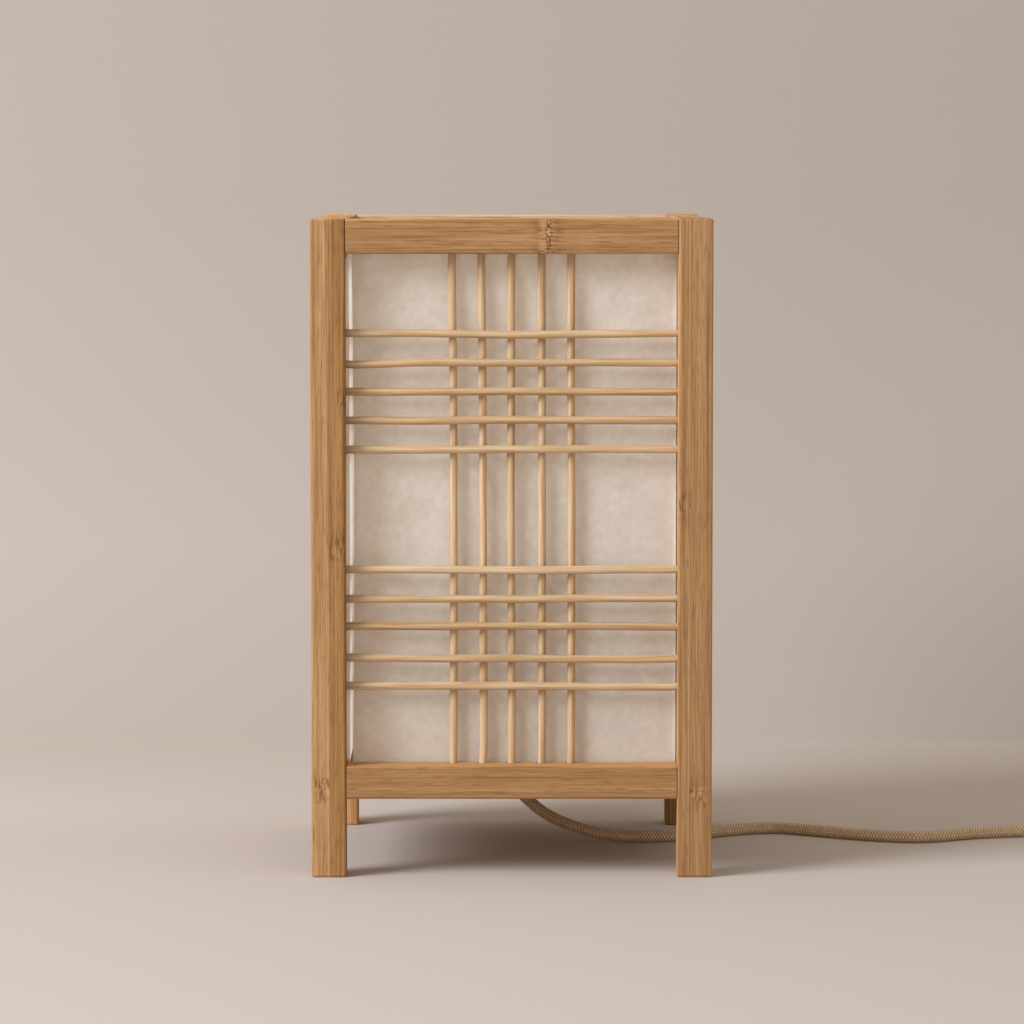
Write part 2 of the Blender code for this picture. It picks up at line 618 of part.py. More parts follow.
def glass_profile(inset):
    """Half outline of the bulb's glass from its crown to its neck, moved in by inset."""
    radius = BULB_DIAMETER / 2
    middle = BULB_LENGTH - radius
    arc_end = radians(130)
    points = []
    for i in range(GLASS_STEPS + 1):
        angle = arc_end * i / GLASS_STEPS
        points.append(((radius - inset) * sin(angle), middle + (radius - inset) * cos(angle)))
    neck = np.array((CAP_RADIUS - inset, GLASS_UNDER + NECK_LENGTH))
    shoulder = np.array(points[-1])
    drop = shoulder[1] - neck[1]
    leave = shoulder + drop / 2 * np.array((cos(arc_end), -sin(arc_end)))
    arrive = neck + (0, drop / 3)
    for share in (0.3, 0.6, 1):
        rest = 1 - share
        point = rest**3 * shoulder + 3 * rest**2 * share * leave + 3 * rest * share**2 * arrive + share**3 * neck
        points.append(tuple(point))
    return points + [(CAP_RADIUS - inset, GLASS_UNDER)]


def build_bulb(lamp):
    """The bulb, about its screw axis, from the underside of its foot contact."""
    screw_axis = empty("bulb_screw_axis", (0, 0, BULB_UNDER), lamp)
    opal = finish("opal_glass", (240, 236, 226), 0.35)
    cap = finish("aluminium", (200, 200, 202), 0.35, 1.0)
    solder = finish("solder", (168, 168, 164), 0.45, 1.0)
    foot = [
        (0, 0),
        (FOOT_RADIUS / 2, 0),
        (FOOT_RADIUS, FOOT_HEIGHT / 2),
        (FOOT_RADIUS, FOOT_HEIGHT),
        (0, FOOT_HEIGHT),
    ]
    shell = [
        (0, CAP_UNDER),
        (FOOT_RADIUS, CAP_UNDER),
        (CAP_RADIUS, CAP_UNDER + CAP_TAPER),
        (CAP_RADIUS, CAP_TOP),
        (0, CAP_TOP),
    ]
    glass = glass_profile(0) + glass_profile(GLASS_WALL)[::-1]
    place("bulb_foot_contact", turned("bulb_foot_contact", foot, SMALL_STEPS), solder, screw_axis)
    place("bulb_cap", turned("bulb_cap", shell), cap, screw_axis)
    place("bulb_glass", turned("bulb_glass", glass), opal, screw_axis)


def smooth_route(points, step):
    """Points about a step apart, read from a smooth curve that passes through every given point."""
    padded = np.array([2 * points[0] - points[1], *points, 2 * points[-1] - points[-2]])
    route = [points[0]]
    for before, start, end, after in zip(padded, padded[1:], padded[2:], padded[3:]):
        pieces = max(1, ceil(np.linalg.norm(end - start) / step))
        for i in range(1, pieces + 1):
            t = i / pieces
            pull = (end - before) * t + (2 * before - 5 * start + 4 * end - after) * t**2
            swing = (3 * start - before - 3 * end + after) * t**3
            route.append(start + (pull + swing) / 2)
    return np.array(route)


def tube(name, points, resolution):
    """A curve with a round section along the points and closed ends."""
    curve = bpy.data.curves.new(name, "CURVE")
    curve.dimensions = "3D"
    curve.bevel_depth = CORD_RADIUS
    curve.bevel_resolution = resolution
    curve.use_fill_caps = True
    spline = curve.splines.new("POLY")
    spline.points.add(len(points) - 1)
    for target, point in zip(spline.points, points):
        target.co = (*point, 1)
    spline.use_smooth = True
    return curve


def lead_points():
    """The cord from the bushing, down to the floor, out past the legs and up to the switch."""
    drop = CORD_START - CORD_RADIUS
    rise = SWITCH_AXIS - CORD_RADIUS
    x, y, share = RISE_TO_SWITCH
    end = SWITCH_START.x - FIT_GAP
    points = [(x, y, CORD_RADIUS + share * drop) for x, y, share in HANGING]
    points += [(x, y, CORD_RADIUS) for x, y in ON_FLOOR]
    points += [(x, y, CORD_RADIUS + share * rise)]
    points += [(end - CORD_DIAMETER, SWITCH_START.y, SWITCH_AXIS), (end, SWITCH_START.y, SWITCH_AXIS)]
    route = smooth_route(np.array(points), 2 * CORD_DIAMETER)
    route[:, 2] = np.maximum(route[:, 2], CORD_RADIUS)
    return route


def coil_radius(turns):
    """Radius of the spiral's centre line, in turns from its reversal, which is rounded off."""
    return COIL_INNER_RADIUS + COIL_PITCH * (np.hypot(turns, COIL_REVERSAL) - COIL_REVERSAL)


def ease(share):
    """A smooth step from 0 to 1."""
    share = np.clip(share, 0, 1)
    return share * share * (3 - 2 * share)


def coil_places():
    """The coil's middle, its outer centre-line radius and where its cord leaves for the plug."""
    outer = float(coil_radius(COIL_TURNS / 2))
    middle = Vector((COIL_START, SWITCH_START.y - outer, 0))
    return middle, outer, Vector((middle.x + outer, middle.y, 0))


def coil_angle(turns):
    """Bearing of the spiral in turns from its reversal: it begins at +Y and runs clockwise."""
    return pi / 2 - tau * (turns + COIL_TURNS / 2)


def run(start, end, share):
    """Points of a straight run whose height eases from one end to the other."""
    level = start + (end - start) * share[:, None]
    level[:, 2] = start[2] + (end[2] - start[2]) * ease((share - share[1]) / (share[-2] - share[1]))
    return level


def coil_points():
    """The cord from the switch, round the lower layer inwards, round the upper layer outwards, to the plug."""
    middle, _, leaving = coil_places()
    turns = np.linspace(-COIL_TURNS / 2, COIL_TURNS / 2, round(COIL_TURNS * POINTS_PER_TURN) + 1)
    radius = coil_radius(turns)
    angle = coil_angle(turns)
    height = COIL_LOW + COIL_PITCH * ease(turns / COIL_CLIMB + 0.5)
    loops = np.stack([middle.x + radius * np.cos(angle), middle.y + radius * np.sin(angle), height], axis=1)
    entry = np.array((SWITCH_START.x + SWITCH_LENGTH + FIT_GAP, SWITCH_START.y, SWITCH_AXIS))
    plug_end = np.array((leaving.x, leaving.y - COIL_RUN_OUT + FIT_GAP, PLUG_AXIS))
    share_in = np.array((0, CORD_DIAMETER / COIL_RUN_IN, *RUN_SHARES))
    share_out = 1 - np.array((0, CORD_DIAMETER / COIL_RUN_OUT, *RUN_SHARES))[::-1]
    return np.concatenate([run(entry, loops[0], share_in)[:-1], loops, run(loops[-1], plug_end, share_out)[1:]])


def least_gap(points):
    """Least clear space between stretches of a tube that lie further apart along it than four diameters."""
    places = np.linspace(0, len(points) - 1, 4 * len(points))
    fine = np.stack([np.interp(places, np.arange(len(points)), points[:, k]) for k in range(3)], axis=1)
    along = np.concatenate([[0], np.cumsum(np.linalg.norm(np.diff(fine, axis=0), axis=1))])
    apart = np.linalg.norm(fine[:, None] - fine[None], axis=2)
    apart[np.abs(along[:, None] - along[None]) < 4 * CORD_DIAMETER] = np.inf
    return apart.min() - CORD_DIAMETER


def rounded_rectangle(half_width, half_height, radius, steps=4):
    """Points round a rectangle with round corners, anticlockwise."""
    points = []
    for corner, (sx, sy) in enumerate(((1, 1), (-1, 1), (-1, -1), (1, -1))):
        for i in range(steps + 1):
            angle = (corner + i / steps) * pi / 2
            across = sx * (half_width - radius) + radius * cos(angle)
            points.append((across, sy * (half_height - radius) + radius * sin(angle)))
    return points


def tie_mesh():
    """A strap round the bundle, its width along Y, where both layers lie straight over each other."""
    at_tie = np.arange(0.5, COIL_TURNS / 2)
    low, high = float(coil_radius(at_tie[0])), float(coil_radius(at_tie[-1]))
    half_width = (high - low) / 2 + CORD_RADIUS + TIE_SIDE_PLAY
    half_height = COIL_PITCH / 2 + CORD_RADIUS + FIT_GAP
    inner = rounded_rectangle(half_width, half_height, TIE_ROUND)
    grow = TIE_THICKNESS
    outer = rounded_rectangle(half_width + grow, half_height + grow, TIE_ROUND + grow)
    bm = bmesh.new()
    loops = []
    for outline, y in ((outer, -1), (outer, 1), (inner, 1), (inner, -1)):
        loops.append([bm.verts.new((x, y * TIE_WIDTH / 2, z)) for x, z in outline])
    count = len(inner)
    for a, b in zip(loops, loops[1:] + loops[:1]):
        for i in range(count):
            j = (i + 1) % count
            bm.faces.new((a[i], a[j], b[j], b[i]))
    return to_mesh(bm, "coil_tie"), (low + high) / 2, coil_angle(-at_tie[-1])


def switch_shell(name, seam, face, side):
    """Half of the switch's housing about its middle: a full body that tapers to a nose at each end.

    It lies between the seam and the outer face, and side is 1 for the upper half and -1 for the lower.
    """
    tip = SWITCH_LENGTH / 2
    shoulder = tip - SWITCH_TAPER
    nose = (SWITCH_NOSE / 2, SWITCH_AXIS + side * SWITCH_NOSE / 2)
    body = (SWITCH_WIDTH / 2, face)
    turn = np.linspace(0, pi / 2, EDGE_STEPS + 1)
    from_side = SWITCH_EDGE * (1 - np.cos(turn))
    from_face = SWITCH_EDGE * (1 - np.sin(turn))
    bm = bmesh.new()
    sections = []
    for x, (half, outer) in ((-tip, nose), (-shoulder, body), (shoulder, body), (tip, nose)):
        right = list(zip(half - from_side, outer - side * from_face))
        left = [(-y, z) for y, z in reversed(right)]
        outline = [(-half, seam), (half, seam), *right, *left]
        sections.append([bm.verts.new((x, y, z)) for y, z in outline])
    for here, there in zip(sections, sections[1:]):
        for i in range(len(here)):
            bm.faces.new((here[i - 1], here[i], there[i], there[i - 1]))
    bm.faces.new(sections[0])
    bm.faces.new(sections[-1])
    return to_mesh(bm, name)


def switch_window(low, high):
    """A cutter for the rocker's window."""
    bm = bmesh.new()
    add_box(bm, (-WINDOW_LENGTH / 2, -WINDOW_WIDTH / 2, low), (WINDOW_LENGTH / 2, WINDOW_WIDTH / 2, high))
    return bm


def lower_shell_mesh():
    """The lower half: a pocket under the rocker, and counterbored screw holes from below."""
    mesh = switch_shell("switch_lower_shell", SWITCH_LOWER_HEIGHT, 0, -1)
    holes = switch_window(SWITCH_LOWER_HEIGHT - SWITCH_POCKET, SWITCH_LOWER_HEIGHT + CUT_OVERRUN)
    mesh = combine(mesh, holes, "DIFFERENCE")
    head_top = SWITCH_SCREW_HEAD_HEIGHT + 2 * FIT_GAP
    for x in (-SWITCH_SCREW_SPREAD / 2, SWITCH_SCREW_SPREAD / 2):
        bore, sink = bmesh.new(), bmesh.new()
        ends = (head_top - CUT_OVERRUN, SWITCH_LOWER_HEIGHT + CUT_OVERRUN)
        add_rod(bore, *[(x, 0, z) for z in ends], SWITCH_SCREW_RADIUS + FIT_GAP, SMALL_STEPS)
        mesh = combine(mesh, bore, "DIFFERENCE")
        ends = (-CUT_OVERRUN, head_top)
        add_rod(sink, *[(x, 0, z) for z in ends], SWITCH_SCREW_HEAD_RADIUS + FIT_GAP, SMALL_STEPS)
        mesh = combine(mesh, sink, "DIFFERENCE")
    return mesh


def upper_shell_mesh():
    """The upper half: the rocker's window, bearings for its stubs and blind screw holes."""
    mesh = switch_shell("switch_upper_shell", SWITCH_SEAM, SWITCH_TOP, 1)
    holes = switch_window(SWITCH_SEAM - CUT_OVERRUN, SWITCH_TOP + CUT_OVERRUN)
    mesh = combine(mesh, holes, "DIFFERENCE")
    bearings = bmesh.new()
    reach = ROCKER_WIDTH / 2 + PIVOT_STUB + FIT_GAP
    radius = (PIVOT_RADIUS + FIT_GAP) / cos(pi / SMALL_STEPS)
    add_rod(bearings, (0, -reach, PIVOT_HEIGHT), (0, reach, PIVOT_HEIGHT), radius, SMALL_STEPS)
    screw_end = SWITCH_SCREW_HEAD_HEIGHT + SWITCH_SCREW_LENGTH + 2 * FIT_GAP
    for x in (-SWITCH_SCREW_SPREAD / 2, SWITCH_SCREW_SPREAD / 2):
        ends = (SWITCH_SEAM - CUT_OVERRUN, screw_end)
        add_rod(bearings, *[(x, 0, z) for z in ends], SWITCH_SCREW_RADIUS + FIT_GAP, SMALL_STEPS)
    return combine(mesh, bearings, "DIFFERENCE")


def rocker_mesh():
    """The rocker about its pivot: a shallow V face, a round belly and a stub at each side."""
    half = ROCKER_LENGTH / 2
    end_top = ROCKER_TOP + half * sin(ROCKER_TILT)
    outline = [(half, 0), (half, end_top), (0, ROCKER_TOP), (-half, end_top), (-half, 0)]
    for i in range(BELLY_STEPS + 1):
        angle = pi + pi * i / BELLY_STEPS
        outline.append((ROCKER_BELLY * cos(angle), ROCKER_BELLY * sin(angle)))
    bm = bmesh.new()
    side = [bm.verts.new((x, -ROCKER_WIDTH / 2, z)) for x, z in outline]
    raised = bmesh.ops.extrude_face_region(bm, geom=[bm.faces.new(side)])["geom"]
    lift = [v for v in raised if isinstance(v, bmesh.types.BMVert)]
    bmesh.ops.translate(bm, verts=lift, vec=(0, ROCKER_WIDTH, 0))
    stubs = bmesh.new()
    reach = ROCKER_WIDTH / 2 + PIVOT_STUB
    add_rod(stubs, (0, -reach, 0), (0, reach, 0), PIVOT_RADIUS, SMALL_STEPS)
    return combine(to_mesh(bm, "switch_rocker"), stubs, "UNION")


def plug_mesh():
    """The plug's body with its pins towards -Y, about the middle of its cord end at floor height."""
    front = -PLUG_LENGTH
    shoulder = front + PLUG_SHOULDER
    wide, narrow = PLUG_WIDTH / 2, PLUG_TAIL_WIDTH / 2
    outline = [(narrow, 0), (-narrow, 0), (-wide, shoulder), (-wide, front), (wide, front), (wide, shoulder)]
    bm = bmesh.new()
    face = bm.faces.new([bm.verts.new((x, y, 0)) for x, y in outline])
    raised = bmesh.ops.extrude_face_region(bm, geom=[face])["geom"]
    lift = [v for v in raised if isinstance(v, bmesh.types.BMVert)]
    bmesh.ops.translate(bm, verts=lift, vec=(0, 0, PLUG_THICKNESS))
    across = edges_along(bm, 0)
    flat_ends = [e for e in across if min(abs(e.verts[0].co.y), abs(e.verts[0].co.y - front)) < WELD]
    round_edges(bm, [e for e in bm.edges if e not in flat_ends], PLUG_EDGE)
    seats = bmesh.new()
    for x in (-PIN_SPACING / 2, PIN_SPACING / 2):
        ends = (front - CUT_OVERRUN, front + PIN_SEAT + FIT_GAP)
        radius = (PIN_RADIUS + FIT_GAP) / cos(pi / SMALL_STEPS)
        add_rod(seats, *[(x, y, PLUG_AXIS) for y in ends], radius, SMALL_STEPS)
    return combine(to_mesh(bm, "plug_body"), seats, "DIFFERENCE")


def pin_mesh():
    """A round pin with a rounded tip, from its seat at height 0 up to its tip."""
    length = PIN_SEAT + PIN_LENGTH
    edge = PIN_RADIUS / 2
    profile = [(0, 0), (PIN_RADIUS, 0), (PIN_RADIUS, length - edge), (PIN_RADIUS - edge, length), (0, length)]
    return turned("plug_pin", profile, SMALL_STEPS)


def build_cord(lamp):
    """The cord in two stretches, with its switch, the tie round its coil and its plug."""
    braid = finish("braided_cotton", (120, 92, 62), 0.9)
    strap = finish("black_strap", (34, 33, 32), 0.85)
    shell = finish("brown_plastic", (62, 44, 32), 0.4)
    key = finish("dark_plastic", (34, 26, 22), 0.35)
    steel = finish("switch_screw_steel", (170, 172, 174), 0.35, 1.0)
    nickel = finish("nickel", (190, 186, 178), 0.25, 1.0)
    coil = coil_points()
    print(f"least gap between the coil's loops: {least_gap(coil) / MM:.2f} mm")
    place("cord_lead", tube("cord_lead", lead_points(), 3), braid, lamp)
    place("cord_coil", tube("cord_coil", coil, 1), braid, lamp)
    middle, _, leaving = coil_places()
    tie, radius, bearing = tie_mesh()
    tie_at = middle + radius * Vector((cos(bearing), sin(bearing), 0)) + Vector((0, 0, COIL_LOW + COIL_PITCH / 2))
    place("coil_tie", tie, strap, lamp, tie_at, (0, 0, bearing))
    switch = empty("switch", SWITCH_MIDDLE, lamp)
    place("switch_lower_shell", lower_shell_mesh(), shell, switch)
    place("switch_upper_shell", upper_shell_mesh(), shell, switch)
    place("switch_rocker", rocker_mesh(), key, switch, (0, 0, PIVOT_HEIGHT), (0, -ROCKER_TILT, 0))
    sizes = (SWITCH_SCREW_RADIUS, SWITCH_SCREW_HEAD_RADIUS, SWITCH_SCREW_HEAD_HEIGHT, SWITCH_SCREW_LENGTH)
    screw = screw_mesh("switch_screw", *sizes)
    head_top = SWITCH_SCREW_HEAD_HEIGHT + FIT_GAP
    for i, x in enumerate((-SWITCH_SCREW_SPREAD / 2, SWITCH_SCREW_SPREAD / 2), 1):
        place(f"switch_screw_{i}", screw, steel, switch, (x, 0, head_top), (pi, 0, 0))
    plug = empty("plug", leaving - Vector((0, COIL_RUN_OUT, 0)), lamp)
    place("plug_body", plug_mesh(), shell, plug)
    pin = pin_mesh()
    for i, x in enumerate((-PIN_SPACING / 2, PIN_SPACING / 2), 1):
        seat = (x, PIN_SEAT - PLUG_LENGTH, PLUG_AXIS)
        place(f"plug_pin_{i}", pin, nickel, plug, seat, (pi / 2, 0, 0))


for leftover in list(bpy.data.objects):
    bpy.data.objects.remove(leftover)
lamp_root = empty("lamp")
build_frame(lamp_root)
build_lampholder(lamp_root)
build_bulb(lamp_root)
build_cord(lamp_root)
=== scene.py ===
"""Bamboo table lamp: the looks of its pieces, in metres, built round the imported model."""

import bmesh
import bpy
import numpy as np
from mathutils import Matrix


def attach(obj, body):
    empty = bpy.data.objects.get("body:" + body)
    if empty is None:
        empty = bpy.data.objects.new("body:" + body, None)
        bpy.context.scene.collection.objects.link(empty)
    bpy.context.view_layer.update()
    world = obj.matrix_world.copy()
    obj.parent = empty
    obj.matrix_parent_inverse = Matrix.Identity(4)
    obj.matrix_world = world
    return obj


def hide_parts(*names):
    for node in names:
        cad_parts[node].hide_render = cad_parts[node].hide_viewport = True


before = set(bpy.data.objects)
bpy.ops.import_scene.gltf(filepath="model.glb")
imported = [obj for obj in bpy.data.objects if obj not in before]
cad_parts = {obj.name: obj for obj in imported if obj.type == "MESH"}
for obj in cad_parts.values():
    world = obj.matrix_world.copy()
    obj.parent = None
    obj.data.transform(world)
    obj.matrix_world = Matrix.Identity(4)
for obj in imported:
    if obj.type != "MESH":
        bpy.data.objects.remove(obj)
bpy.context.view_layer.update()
scene = bpy.context.scene

# Camera: a long lens on a stand in front of the lamp, a little above its top and tipped down,
# so that the posts run almost parallel and the table shows as a shallow band.
camera = bpy.data.objects.new("camera", bpy.data.cameras.new("camera"))
camera.data.sensor_width = 36
camera.data.lens = 161.9
camera.location = (0, -2.383, 0.3559)
CAMERA_TILT = 4.323  # degrees down
CAMERA_PAN = -0.005  # degrees to the left
camera.rotation_euler = (np.radians(90 - CAMERA_TILT), 0, np.radians(CAMERA_PAN))
scene.collection.objects.link(camera)
scene.camera = camera
scene.view_settings.view_transform = "Standard"

# Posts and rails: square sticks glued up from strips of steamed bamboo, planed, lightly
# rounded and oiled. The rails have stub tenons in the posts, so only straight joints show.
MM = 0.001


def colour(code):
    """Linear colour and alpha from an sRGB hex code, by the inverse of the sRGB curve."""
    share = np.array([int(code[i : i + 2], 16) for i in (1, 3, 5)]) / 255
    linear = np.where(share <= 0.04045, share / 12.92, ((share + 0.055) / 1.055) ** 2.4)
    return *(float(part) for part in linear), 1.0


def add_node(surface, kind, inputs=(), stops=(), **settings):
    """Adds a shader node: its settings, a ramp's stops, and each input's value or feeding node."""
    made = surface.node_tree.nodes.new(f"ShaderNode{kind}")
    for name, value in settings.items():
        setattr(made, name, value)
    for i, (place, code) in enumerate(stops):
        stop = made.color_ramp.elements[i] if i < 2 else made.color_ramp.elements.new(place)
        stop.position, stop.color = place, colour(code)
    for socket, value in dict(inputs).items():
        source = value.outputs[0] if isinstance(value, bpy.types.Node) else value
        if isinstance(source, bpy.types.NodeSocket):
            surface.node_tree.links.new(source, made.inputs[socket])
        else:
            made.inputs[socket].default_value = source
    return made


def new_finish(name):
    """An empty node material."""
    surface = bpy.data.materials.new(name)
    surface.use_nodes = True
    surface.node_tree.nodes.clear()
    return surface


def dress(surface, *nodes):
    """Gives CAD nodes a finish through their slot."""
    for node in nodes:
        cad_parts[node].material_slots[0].material = surface


def laminated_bamboo(
    name, turn, seams, knuckles, drift, shade=1.0, step=0.0, rich=1.35, lit_side=(0, 0, 1)
):
    """Oiled laminated bamboo: straight fine grain, strips a shade apart, torn fibres at the knuckles.

    Turn lays the piece's length on Z. Seams gives a strip width and one seam for each cross direction.
    A knuckle is a place along, a middle and half width across and how far its line wanders, in mm, and
    how dark its row of fibre ends is. Drift picks another piece of culm, shade is how light the piece is,
    and step how much lighter it is below its first seam. Rich is how yellow the piece is, and what is
    lighter is less yellow. Faces that look to the lit side are painted lighter, a painted highlight where
    the light falls on them.
    """
    surface = new_finish(name)
    spot = add_node(surface, "TexCoord")
    laid = {"Vector": spot.outputs["Object"], "Rotation": turn, "Scale": (1 / MM, 1 / MM, 1 / MM)}
    laid = add_node(surface, "Mapping", laid)
    across, deep, along = add_node(surface, "SeparateXYZ", {0: laid}).outputs
    steps = []
    for axis, (width, seam) in zip((across, deep), seams):
        from_seam = add_node(surface, "Math", {0: axis, 1: seam}, operation="SUBTRACT")
        steps.append(add_node(surface, "Math", {0: from_seam, 1: width}, operation="SNAP"))
    strip = add_node(surface, "CombineXYZ", {0: steps[0], 1: steps[1], 2: drift})
    chance = add_node(surface, "TexWhiteNoise", {"Vector": strip}, noise_dimensions="3D")
    own = {0: chance.outputs["Color"], 1: (70, 70, 900), 2: laid}
    own = add_node(surface, "VectorMath", own, operation="MULTIPLY_ADD")
    grains = []
    for width, length, detail in ((2.2, 200, 1), (0.7, 50, 3), (0.55, 9, 0)):  # mm: bands, fibres, pores
        size = {0: own, 1: (1 / width, 1 / width, 1 / length)}
        size = add_node(surface, "VectorMath", size, operation="MULTIPLY")
        size = {"Vector": size, "Scale": 1, "Detail": detail, "Roughness": 0.6}
        grains.append(add_node(surface, "TexNoise", size))
    fine = add_node(surface, "Math", {0: grains[1], 1: 0.65}, operation="MULTIPLY")
    grain = add_node(surface, "Math", {0: grains[0], 1: 0.35, 2: fine}, operation="MULTIPLY_ADD")
    tones = ((0.34, "#8b633c"), (0.5, "#a77d52"), (0.66, "#ba9166"))
    wood = add_node(surface, "ValToRGB", {0: grain}, stops=tones)
    pores = {"Value": grains[2], "From Min": 0.57, "From Max": 0.75, "To Min": 0, "To Max": 0.45}
    pores = add_node(surface, "MapRange", pores)
    mix = {0: pores, 6: wood, 7: colour("#7a5029")}
    wood = add_node(surface, "Mix", mix, data_type="RGBA").outputs[2]
    low = add_node(surface, "Math", {0: across, 1: seams[0][1]}, operation="LESS_THAN")
    lift = add_node(surface, "Math", {0: low, 1: step, 2: shade - 0.04}, operation="MULTIPLY_ADD")
    lift = {0: chance.outputs["Value"], 1: 0.08, 2: lift}
    lift = add_node(surface, "Math", lift, operation="MULTIPLY_ADD")
    rich = add_node(surface, "Math", {0: lift, 1: -0.35, 2: rich}, operation="MULTIPLY_ADD")
    # Painted highlight: faces that look to the lit side are made up to 0.42 lighter.
    painted_face_light = {0: spot.outputs["Normal"], 1: lit_side}
    painted_face_light = add_node(surface, "VectorMath", painted_face_light, operation="DOT_PRODUCT").outputs["Value"]
    painted_face_light = add_node(surface, "MapRange", {"Value": painted_face_light, "From Min": 0.3, "To Max": 0.42})
    lift = add_node(surface, "Math", {0: lift, 1: painted_face_light}, operation="ADD")
    wood = add_node(surface, "HueSaturation", {"Saturation": rich, "Value": lift, "Color": wood})
    # A dark glue line along the first seam.
    darkening = add_node(surface, "Math", {0: across, 1: seams[0][1], 2: 0.16}, operation="COMPARE")
    darkening = add_node(surface, "Math", {0: darkening, 1: 0.45}, operation="MULTIPLY")
    mix = {0: darkening, 6: wood, 7: colour("#6b4526")}
    wood = add_node(surface, "Mix", mix, data_type="RGBA").outputs[2]

    sway = add_node(surface, "TexNoise", {"Vector": own, "Scale": 0.16, "Detail": 1})
    sway = add_node(surface, "Math", {0: sway, 1: 0.5}, operation="SUBTRACT")
    size = add_node(surface, "VectorMath", {0: own, 1: (1 / 0.9, 1 / 0.9, 1 / 5)}, operation="MULTIPLY")
    torn = add_node(surface, "TexNoise", {"Vector": size, "Scale": 1, "Detail": 1, "Distortion": 0.6})
    apart = 1.6  # mm from one fibre end to the next
    ends = add_node(surface, "TexVoronoi", {"Vector": own, "Scale": 1 / apart, "Randomness": 0.8})
    pale, dark, stain, ends = (
        add_node(surface, "MapRange", {"Value": source, "From Min": none, "From Max": full, "To Max": most})
        for source, none, full, most in (
            (torn, 0.42, 0.56, 0.55),
            (torn, 0.49, 0.4, 0.8),
            (grains[0], 0.65, 0.4, 0.5),
            (ends, 0.46, 0.3, 0.85),
        )
    )
    for place, middle, half, wander, row in knuckles:
        off = add_node(surface, "Math", {0: sway, 1: wander, 2: along}, operation="MULTIPLY_ADD")
        off = add_node(surface, "Math", {0: off, 1: place}, operation="SUBTRACT")
        inside = add_node(surface, "Math", {0: across, 1: middle, 2: half}, operation="COMPARE")
        marks = (  # the middle, the two distances between which it fades, in mm, the strength, the colour
            (stain, 0, 5, 11, 1, "#7d5229"),
            (pale, -1.2, 1.5, 5, 0.3 + 0.7 * row, "#c39a6b"),
            (dark, 0, 3, 9, 1 - 0.3 * row, "#6b431d"),
            (ends, 0.3, 1, 2.2, row, "#553413"),
        )
        for mark, centre, full, gone, strength, code in marks:
            away = add_node(surface, "Math", {0: off, 1: centre}, operation="SUBTRACT")
            away = add_node(surface, "Math", {0: away}, operation="ABSOLUTE")
            where = {"Value": away, "From Min": full, "From Max": gone, "To Min": strength, "To Max": 0}
            where = add_node(surface, "MapRange", where, interpolation_type="SMOOTHSTEP")
            where = add_node(surface, "Math", {0: where, 1: inside}, operation="MULTIPLY")
            amount = add_node(surface, "Math", {0: mark, 1: where}, operation="MULTIPLY")
            mix = {0: amount, 6: wood, 7: colour(code)}
            wood = add_node(surface, "Mix", mix, data_type="RGBA").outputs[2]

    gloss = add_node(surface, "MapRange", {"Value": grain, "To Min": 0.75, "To Max": 0.58})
    relief = add_node(surface, "Bump", {"Height": grain, "Strength": 0.25, "Distance": 0.12 * MM})
    oiled = {"Base Color": wood, "Roughness": gloss, "Normal": relief, "Specular IOR Level": 0.25}
    oiled = add_node(surface, "BsdfPrincipled", oiled)
    add_node(surface, "OutputMaterial", {0: oiled})
    return surface


UPRIGHT = (0, 0, 0)
ALONG_X = (0, -np.pi / 2, 0)
ALONG_Y = (np.pi / 2, 0, 0)
INWARD = (-1, 0, 0)
STRIP_WIDTH = 10.5  # mm
NO_SEAM = (400, -1000)  # a strip so wide and a seam so far off, in mm, that none falls on the piece
POSTS = {  # seams in mm, knuckles, the shade, its step at the first seam, how yellow, the lit side
    "front_left": (
        (-90.8, -91),
        ((166, -86.9, 3.8, 9, 0), (238, -84.5, 2, 6, 0), (46, -95, 4.2, 26, 0.4)),
        *(0.87, 0.22, 1.38),
    ),
    "front_right": ((89, -92), ((186, 86, 3, 9, 0), (43, 93, 4, 9, 0.7)), 0.93, -0.02, 1.34, INWARD),
    # Painted light and shade: the rear right post is made darker, as in shade, and the rear left post
    # lighter and more yellow, as where the light falls on it.
    "rear_right": ((92, 91), ((120, 88, 6, 9, 0.3), (262, 95, 5, 9, 0)), 0.78, 0.05, 1.38),
    "rear_left": ((-91, 90), ((70, -95, 5, 9, 0), (206, -87, 5, 9, 0.3)), 1.38, -0.04, 1.52),
}
for drift, (corner, (seams, knuckles, *tone)) in enumerate(POSTS.items()):
    strips = [(STRIP_WIDTH, seam) for seam in seams]
    wood = laminated_bamboo(f"oiled_bamboo_post_{corner}", UPRIGHT, strips, knuckles, drift, *tone)
    dress(wood, f"post_{corner}")
# Each rail's knuckle, in mm from its middle, and its shade. The rear top rail is made lighter, a painted
# highlight where the light falls on its inner face.
TOP_RAILS = {"front": (18.4, 0.865), "right": (-40, 0.95), "rear": (None, 1.38), "left": (11, 1.0)}
BOTTOM_RAILS = {"front": (None, 0.86), "right": (30, 0.95), "rear": (-22, 1.0), "left": (None, 0.97)}
for drift, side in enumerate(TOP_RAILS, 4):
    turn = ALONG_X if side in ("front", "rear") else ALONG_Y
    for level, rails in (("top", TOP_RAILS), ("bottom", BOTTOM_RAILS)):
        knuckle, shade = rails[side]
        width, seam = NO_SEAM
        strips = [(width, seam - drift - 7 * len(level)), NO_SEAM]  # each rail's own seam picks its grain
        knuckles = [] if knuckle is None else [(knuckle, 0, 500, 3, 1)]  # right across the rail
        wood = laminated_bamboo(f"oiled_bamboo_{level}_rail_{side}", turn, strips, knuckles, drift, shade)
        dress(wood, f"{level}_rail_{side}")

# Base board: a thin board of the same bamboo in strips 20 mm wide, slid into grooves in the
# bottom rails. It closes the lamp below and carries the lampholder.
board = laminated_bamboo("oiled_bamboo_base_board", ALONG_X, [NO_SEAM, (20, 3)], [], 12, 1.5)
dress(board, "base_board")

